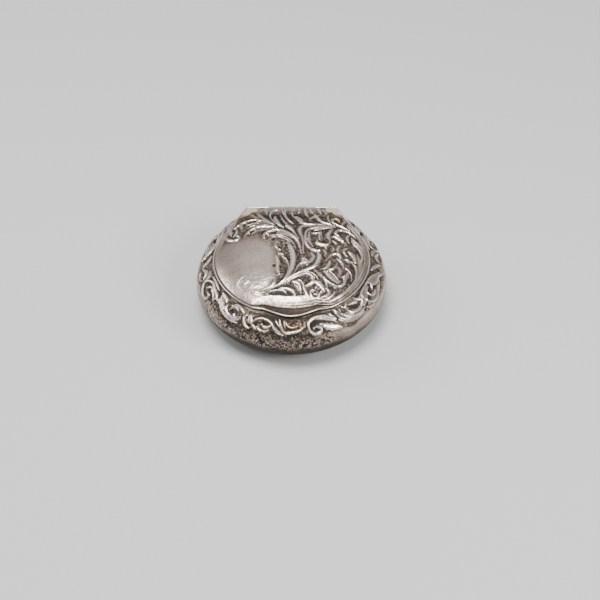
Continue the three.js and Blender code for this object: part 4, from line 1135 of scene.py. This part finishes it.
# Flat foot, then a quarter ellipse up to the belly. Slight dents come from two broad clouds.
def makeBowl():
    up, sheet, footRadius = bowl["up"], box["sheet"], box["footRadius"]
    angle = np.linspace(-math.pi, math.pi, bowl["around"], endpoint=False)[None, :]
    top = box["bellyHeight"] - bowl["seam"]

    def wall(share, inset):
        turn = share * math.pi / 2
        spread = box["bellyRadius"] - inset - footRadius
        return footRadius + spread * np.sin(turn), top - (top - inset) * np.cos(turn)

    outShares = np.linspace(0, 1, up)[:, None]
    outR, outZ = wall(outShares, 0)
    footR = np.linspace(0.08, 1, 12)[:-1, None] * footRadius
    footZ = bowl["footHollow"] * (1 - (footR / footRadius) ** 2) ** 2
    inR, inZ = wall(np.linspace(1, 0, 24)[:, None], sheet)
    innerFootR = np.linspace(1, 0.08, 8)[1:, None] * footRadius
    innerFootZ = 0 * innerFootR + sheet + bowl["footHollow"]
    r = np.vstack([footR, outR, inR, innerFootR]) + 0 * angle
    z = np.vstack([footZ, outZ, inZ, innerFootZ]) + 0 * angle
    first, outer = len(footR), len(footR) + up         # rows first..outer are the wall's outside
    x, y = r * np.cos(angle) + 60, r * np.sin(angle) + 60      # where the noise is read
    dents = sum(depth * (cloud(x, y, size, seed) - 0.5) for size, depth, seed in bowl["dents"])
    r[first:outer] += dents[first:outer] * np.sin(outShares * math.pi)

    degrees = np.degrees(angle) + 0 * r
    front = arcShare(degrees, -94, 18, 44) * ease(z, 4.2, 7) * (r > footRadius)
    spots = pitField((angle + math.pi) * 20, z + 30, 13, 14, 16) * front
    tone = bowl["tone"] - bowl["spots"] * spots
    # painted shade low on the outside of the wall; the inside is darkened low down with the same falloff
    lowDarkening = 1 - ease(z, *bowl["lowShadeTop"])
    lowDarkening *= (0.35 + 0.65 * ease(z, 0.8, 3.6)) * (0.6 + 0.8 * cloud(x, y + z, 3, 17))
    allRound, atFront, atPits = bowl["lowShade"]
    lowShade = allRound + atFront * arcShare(degrees, -90, 60, 120) + atPits * pitShare(degrees)
    tone[:outer] -= (lowShade * lowDarkening)[:outer]
    tone[outer:] -= bowl["insideLowDark"] * lowDarkening[outer:]
    tone[first:outer] += bowl["tarnish"] * (cloud(x, y + z, 4, 15) - 0.5)[first:outer]
    tone[first:first + 5] += bowl["footRing"]

    rows, around = r.shape
    poles = [[0, 0, bowl["footHollow"]], [0, 0, sheet + bowl["footHollow"]]]
    points = np.vstack([pointsAt(r, angle, z), poles])
    index = np.arange(rows * around).reshape(rows, around)
    triangles = endFans(index, len(points) - 1)
    rowOf = np.repeat(np.arange(rows - 1), around)
    backing = np.concatenate([rowOf >= outer, np.zeros(around), np.ones(around)])
    tones = np.concatenate([tone.ravel(), [tone[0].mean(), tone[-1].mean()]])
    pitted = np.concatenate([(pitShare(degrees) * ease(z, 2.5, 6.5)).ravel(), [0, 0]])
    quads = gridFaces(rows, around, wrapColumns=True)
    addPiece("body_bowl", points, quads, "body", ["base_bowl"],
             [handledSilver, washedGilt], triangles, {"tone": tones, "pitted": pitted}, backing)


bezel = {
    "around": 480,
    "thickness": 0.5,
    "roundTop": 0.2,
}


# The upright strip inside the mouth, with a rounded top edge.
def makeBezel():
    angle = np.linspace(-math.pi, math.pi, bezel["around"], endpoint=False)[None, :]
    thick, soft, low, high = bezel["thickness"], bezel["roundTop"], bezelLow[2], bezelHigh[2]
    turn = np.radians(np.linspace(0, 180, 9))[1:-1, None]
    wall = np.linspace(low, high - soft, 5)[:, None]
    inset = np.vstack([0 * wall, thick / 2 * (1 - np.cos(turn)), 0 * wall + thick])
    z = np.vstack([wall, high - soft + soft * np.sin(turn), wall[::-1]])
    outline = innerRadius(angle, box["landWidth"] + box["solderGap"]) - inset
    quads = gridFaces(len(z), bezel["around"], wrapRows=True, wrapColumns=True)
    tone = 0.6 + 0.3 * ease(z, high - 0.3, high) + 0 * outline
    addPiece("body_mouth_bezel", pointsAt(outline, angle, z), quads, "body", ["body_bezel"],
             [washedGilt], attributes={"tone": tone}, crease=60)


knuckle = {
    "around": 96,
    "radius": 0.75,
    "bore": 0.45,
    "lidBlock": (0.4, 0.8),        # half width and height of the block under the lid
    "bodyBlock": (0.8, 0.8),       # how far a body knuckle's block reaches in and down to the gutter
    "softEdge": 0.06,
    "tones": {"barrel": 0.83, "ends": 0.58, "bore": 0.38},
}


# A tube along X round the hinge axis. Its outline is the larger of a circle and a block that reaches out
# to the strip it is soldered to; the ends are slightly rounded.
def makeKnuckle(node, side):
    low, high = cadBox(node)
    turn = np.linspace(0, 2 * math.pi, knuckle["around"], endpoint=False)[None, :]
    across, along = np.cos(turn), np.sin(turn)
    if side == "lid":
        half, height = knuckle["lidBlock"]
        block = np.minimum(half / np.maximum(np.abs(across), 1e-6), height / np.maximum(along, 1e-6))
        block = np.where(along > 0, block, 0)
    else:
        inward, down = knuckle["bodyBlock"]
        block = np.minimum(inward / np.maximum(-across, 1e-6), down / np.maximum(-along, 1e-6))
        block = np.where((across < 0) & (along < 0), block, 0)
    outline = np.maximum(knuckle["radius"], block)
    soft, bore = knuckle["softEdge"], 0 * outline + knuckle["bore"]
    rings = [(low[0] + soft, outline), (low[0], outline - soft), (low[0], bore)]
    rings += [(high[0], bore), (high[0], outline - soft), (high[0] - soft, outline)]
    rings += [(x, outline) for x in np.linspace(high[0] - soft, low[0] + soft, 8)[1:-1]]
    r = np.vstack([ring for _, ring in rings])
    x = np.vstack([0 * outline + place for place, _ in rings])
    points = np.stack([x, axisY + r * across, axisZ + r * along], -1).reshape(-1, 3)
    quads = gridFaces(len(rings), knuckle["around"], wrapRows=True, wrapColumns=True)[:, ::-1]
    tones = knuckle["tones"]
    tone = np.where(r > 0.7, tones["barrel"], np.where(r < 0.5, tones["bore"], tones["ends"]))
    addPiece(node + "_tube", points, quads, side, [node], [handledSilver],
             attributes={"tone": tone}, crease=40)


pin = {
    "around": 48,
    "radius": 0.4,
    "dome": 0.12,          # how far the ends stand out
}


# A round wire along X with slightly domed ends.
def makePin():
    radius, half, dome, around = pin["radius"], pinHigh[0], pin["dome"], pin["around"]
    turn = np.linspace(0, 2 * math.pi, around, endpoint=False)[None, :]
    cap = np.radians([20, 45, 70])
    capX = -half + dome * (1 - np.cos(cap))
    r = np.concatenate([radius * np.sin(cap), [radius] * 9, radius * np.sin(cap[::-1])])[:, None]
    x = np.concatenate([capX, np.linspace(-half + dome, half - dome, 9), -capX[::-1]])[:, None]
    points = np.stack([x + 0 * turn, axisY + r * np.cos(turn), axisZ + r * np.sin(turn)], -1).reshape(-1, 3)
    points = np.vstack([points, [[-half, axisY, axisZ], [half, axisY, axisZ]]])
    index = np.arange(len(r) * around).reshape(len(r), around)
    quads = gridFaces(len(r), around, wrapColumns=True)
    triangles = endFans(index, len(points) - 1)
    addPiece("hinge_pin_wire", points, quads, "body", ["hinge_pin"], [drawnWire], triangles)


makeLidShell()
print("lid cover made")
makeLidRim()
print("lid ring made")
makeShoulder()
print("shoulder made")
makeBowl()
makeBezel()
print("bowl and bezel made")
for number in range(1, 5):
    makeKnuckle(f"body_knuckle_{number}", "body")
for number in range(1, 4):
    makeKnuckle(f"lid_knuckle_{number}", "lid")
makePin()
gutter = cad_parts["hinge_gutter"]
gutter.data.materials.clear()
gutter.data.materials.append(drawnWire)
print("hinge made")

# Camera: in front and above, and far enough back that the box is small in the picture.
view = {"target": (2.0, -5.0, 5.2), "elevation": 45.0, "distance": 281.0, "lens": 71.52}
lens = bpy.data.cameras.new("camera")
lens.lens = view["lens"]
lens.sensor_width = 36.0
lens.clip_start, lens.clip_end = 0.01, 10.0
camera = bpy.data.objects.new("camera", lens)
bpy.context.scene.collection.objects.link(camera)
tilt = math.radians(view["elevation"])
away = view["distance"] * np.array([0, -math.cos(tilt), math.sin(tilt)])
camera.location = (np.array(view["target"]) + away) * mm
camera.rotation_euler = (math.pi / 2 - tilt, 0, 0)
bpy.context.scene.camera = camera

# Floor: one pale sheet of paper, with no gloss.
floorHalf = 1.5
corners = [(x * floorHalf, y * floorHalf, 0) for x, y in ((-1, -1), (1, -1), (1, 1), (-1, 1))]
floorMesh = bpy.data.meshes.new("floor")
floorMesh.from_pydata(corners, [], [(0, 1, 2, 3)])
floor = bpy.data.objects.new("floor", floorMesh)
bpy.context.scene.collection.objects.link(floor)
paper = bpy.data.materials.new("matt_paper_sweep")
paper.use_nodes = True
paper.node_tree.nodes["Principled BSDF"].inputs["Base Color"].default_value = linear("#cfd0d0")
paper.node_tree.nodes["Principled BSDF"].inputs["Roughness"].default_value = 0.9
floorMesh.materials.append(paper)

world = bpy.data.worlds.new("studio")
bpy.context.scene.world = world
world.use_nodes = True
background = world.node_tree.nodes["Background"]
background.inputs["Color"].default_value = linear("#c6c4c2")
background.inputs["Strength"].default_value = 0.62

# Soft lights: width and height, place, and watts. Each looks at the box.
lights = {
    "overhead": {"size": (0.24, 0.24), "place": (-0.05, -0.06, 0.5), "power": 3.0},
    "window": {"size": (0.16, 0.22), "place": (0.34, -0.22, 0.30), "power": 1.6},
    "fill": {"size": (0.3, 0.2), "place": (-0.45, 0.1, 0.28), "power": 0.9},
    "backdrop": {"size": (0.55, 0.36), "place": (0.0, 0.44, 0.42), "power": 0.3},
}
for name, lamp in lights.items():
    data = bpy.data.lights.new(name, "AREA")
    data.shape = "RECTANGLE"
    data.size, data.size_y = lamp["size"]
    data.energy = lamp["power"]
    light = bpy.data.objects.new(name, data)
    bpy.context.scene.collection.objects.link(light)
    light.location = lamp["place"]
    aim = np.array([0, 0, 0.01]) - np.array(lamp["place"])
    aim = aim / np.linalg.norm(aim)
    light.rotation_euler = (math.acos(-aim[2]), 0, math.atan2(aim[0], -aim[1]) + math.pi)

print("scene ready")
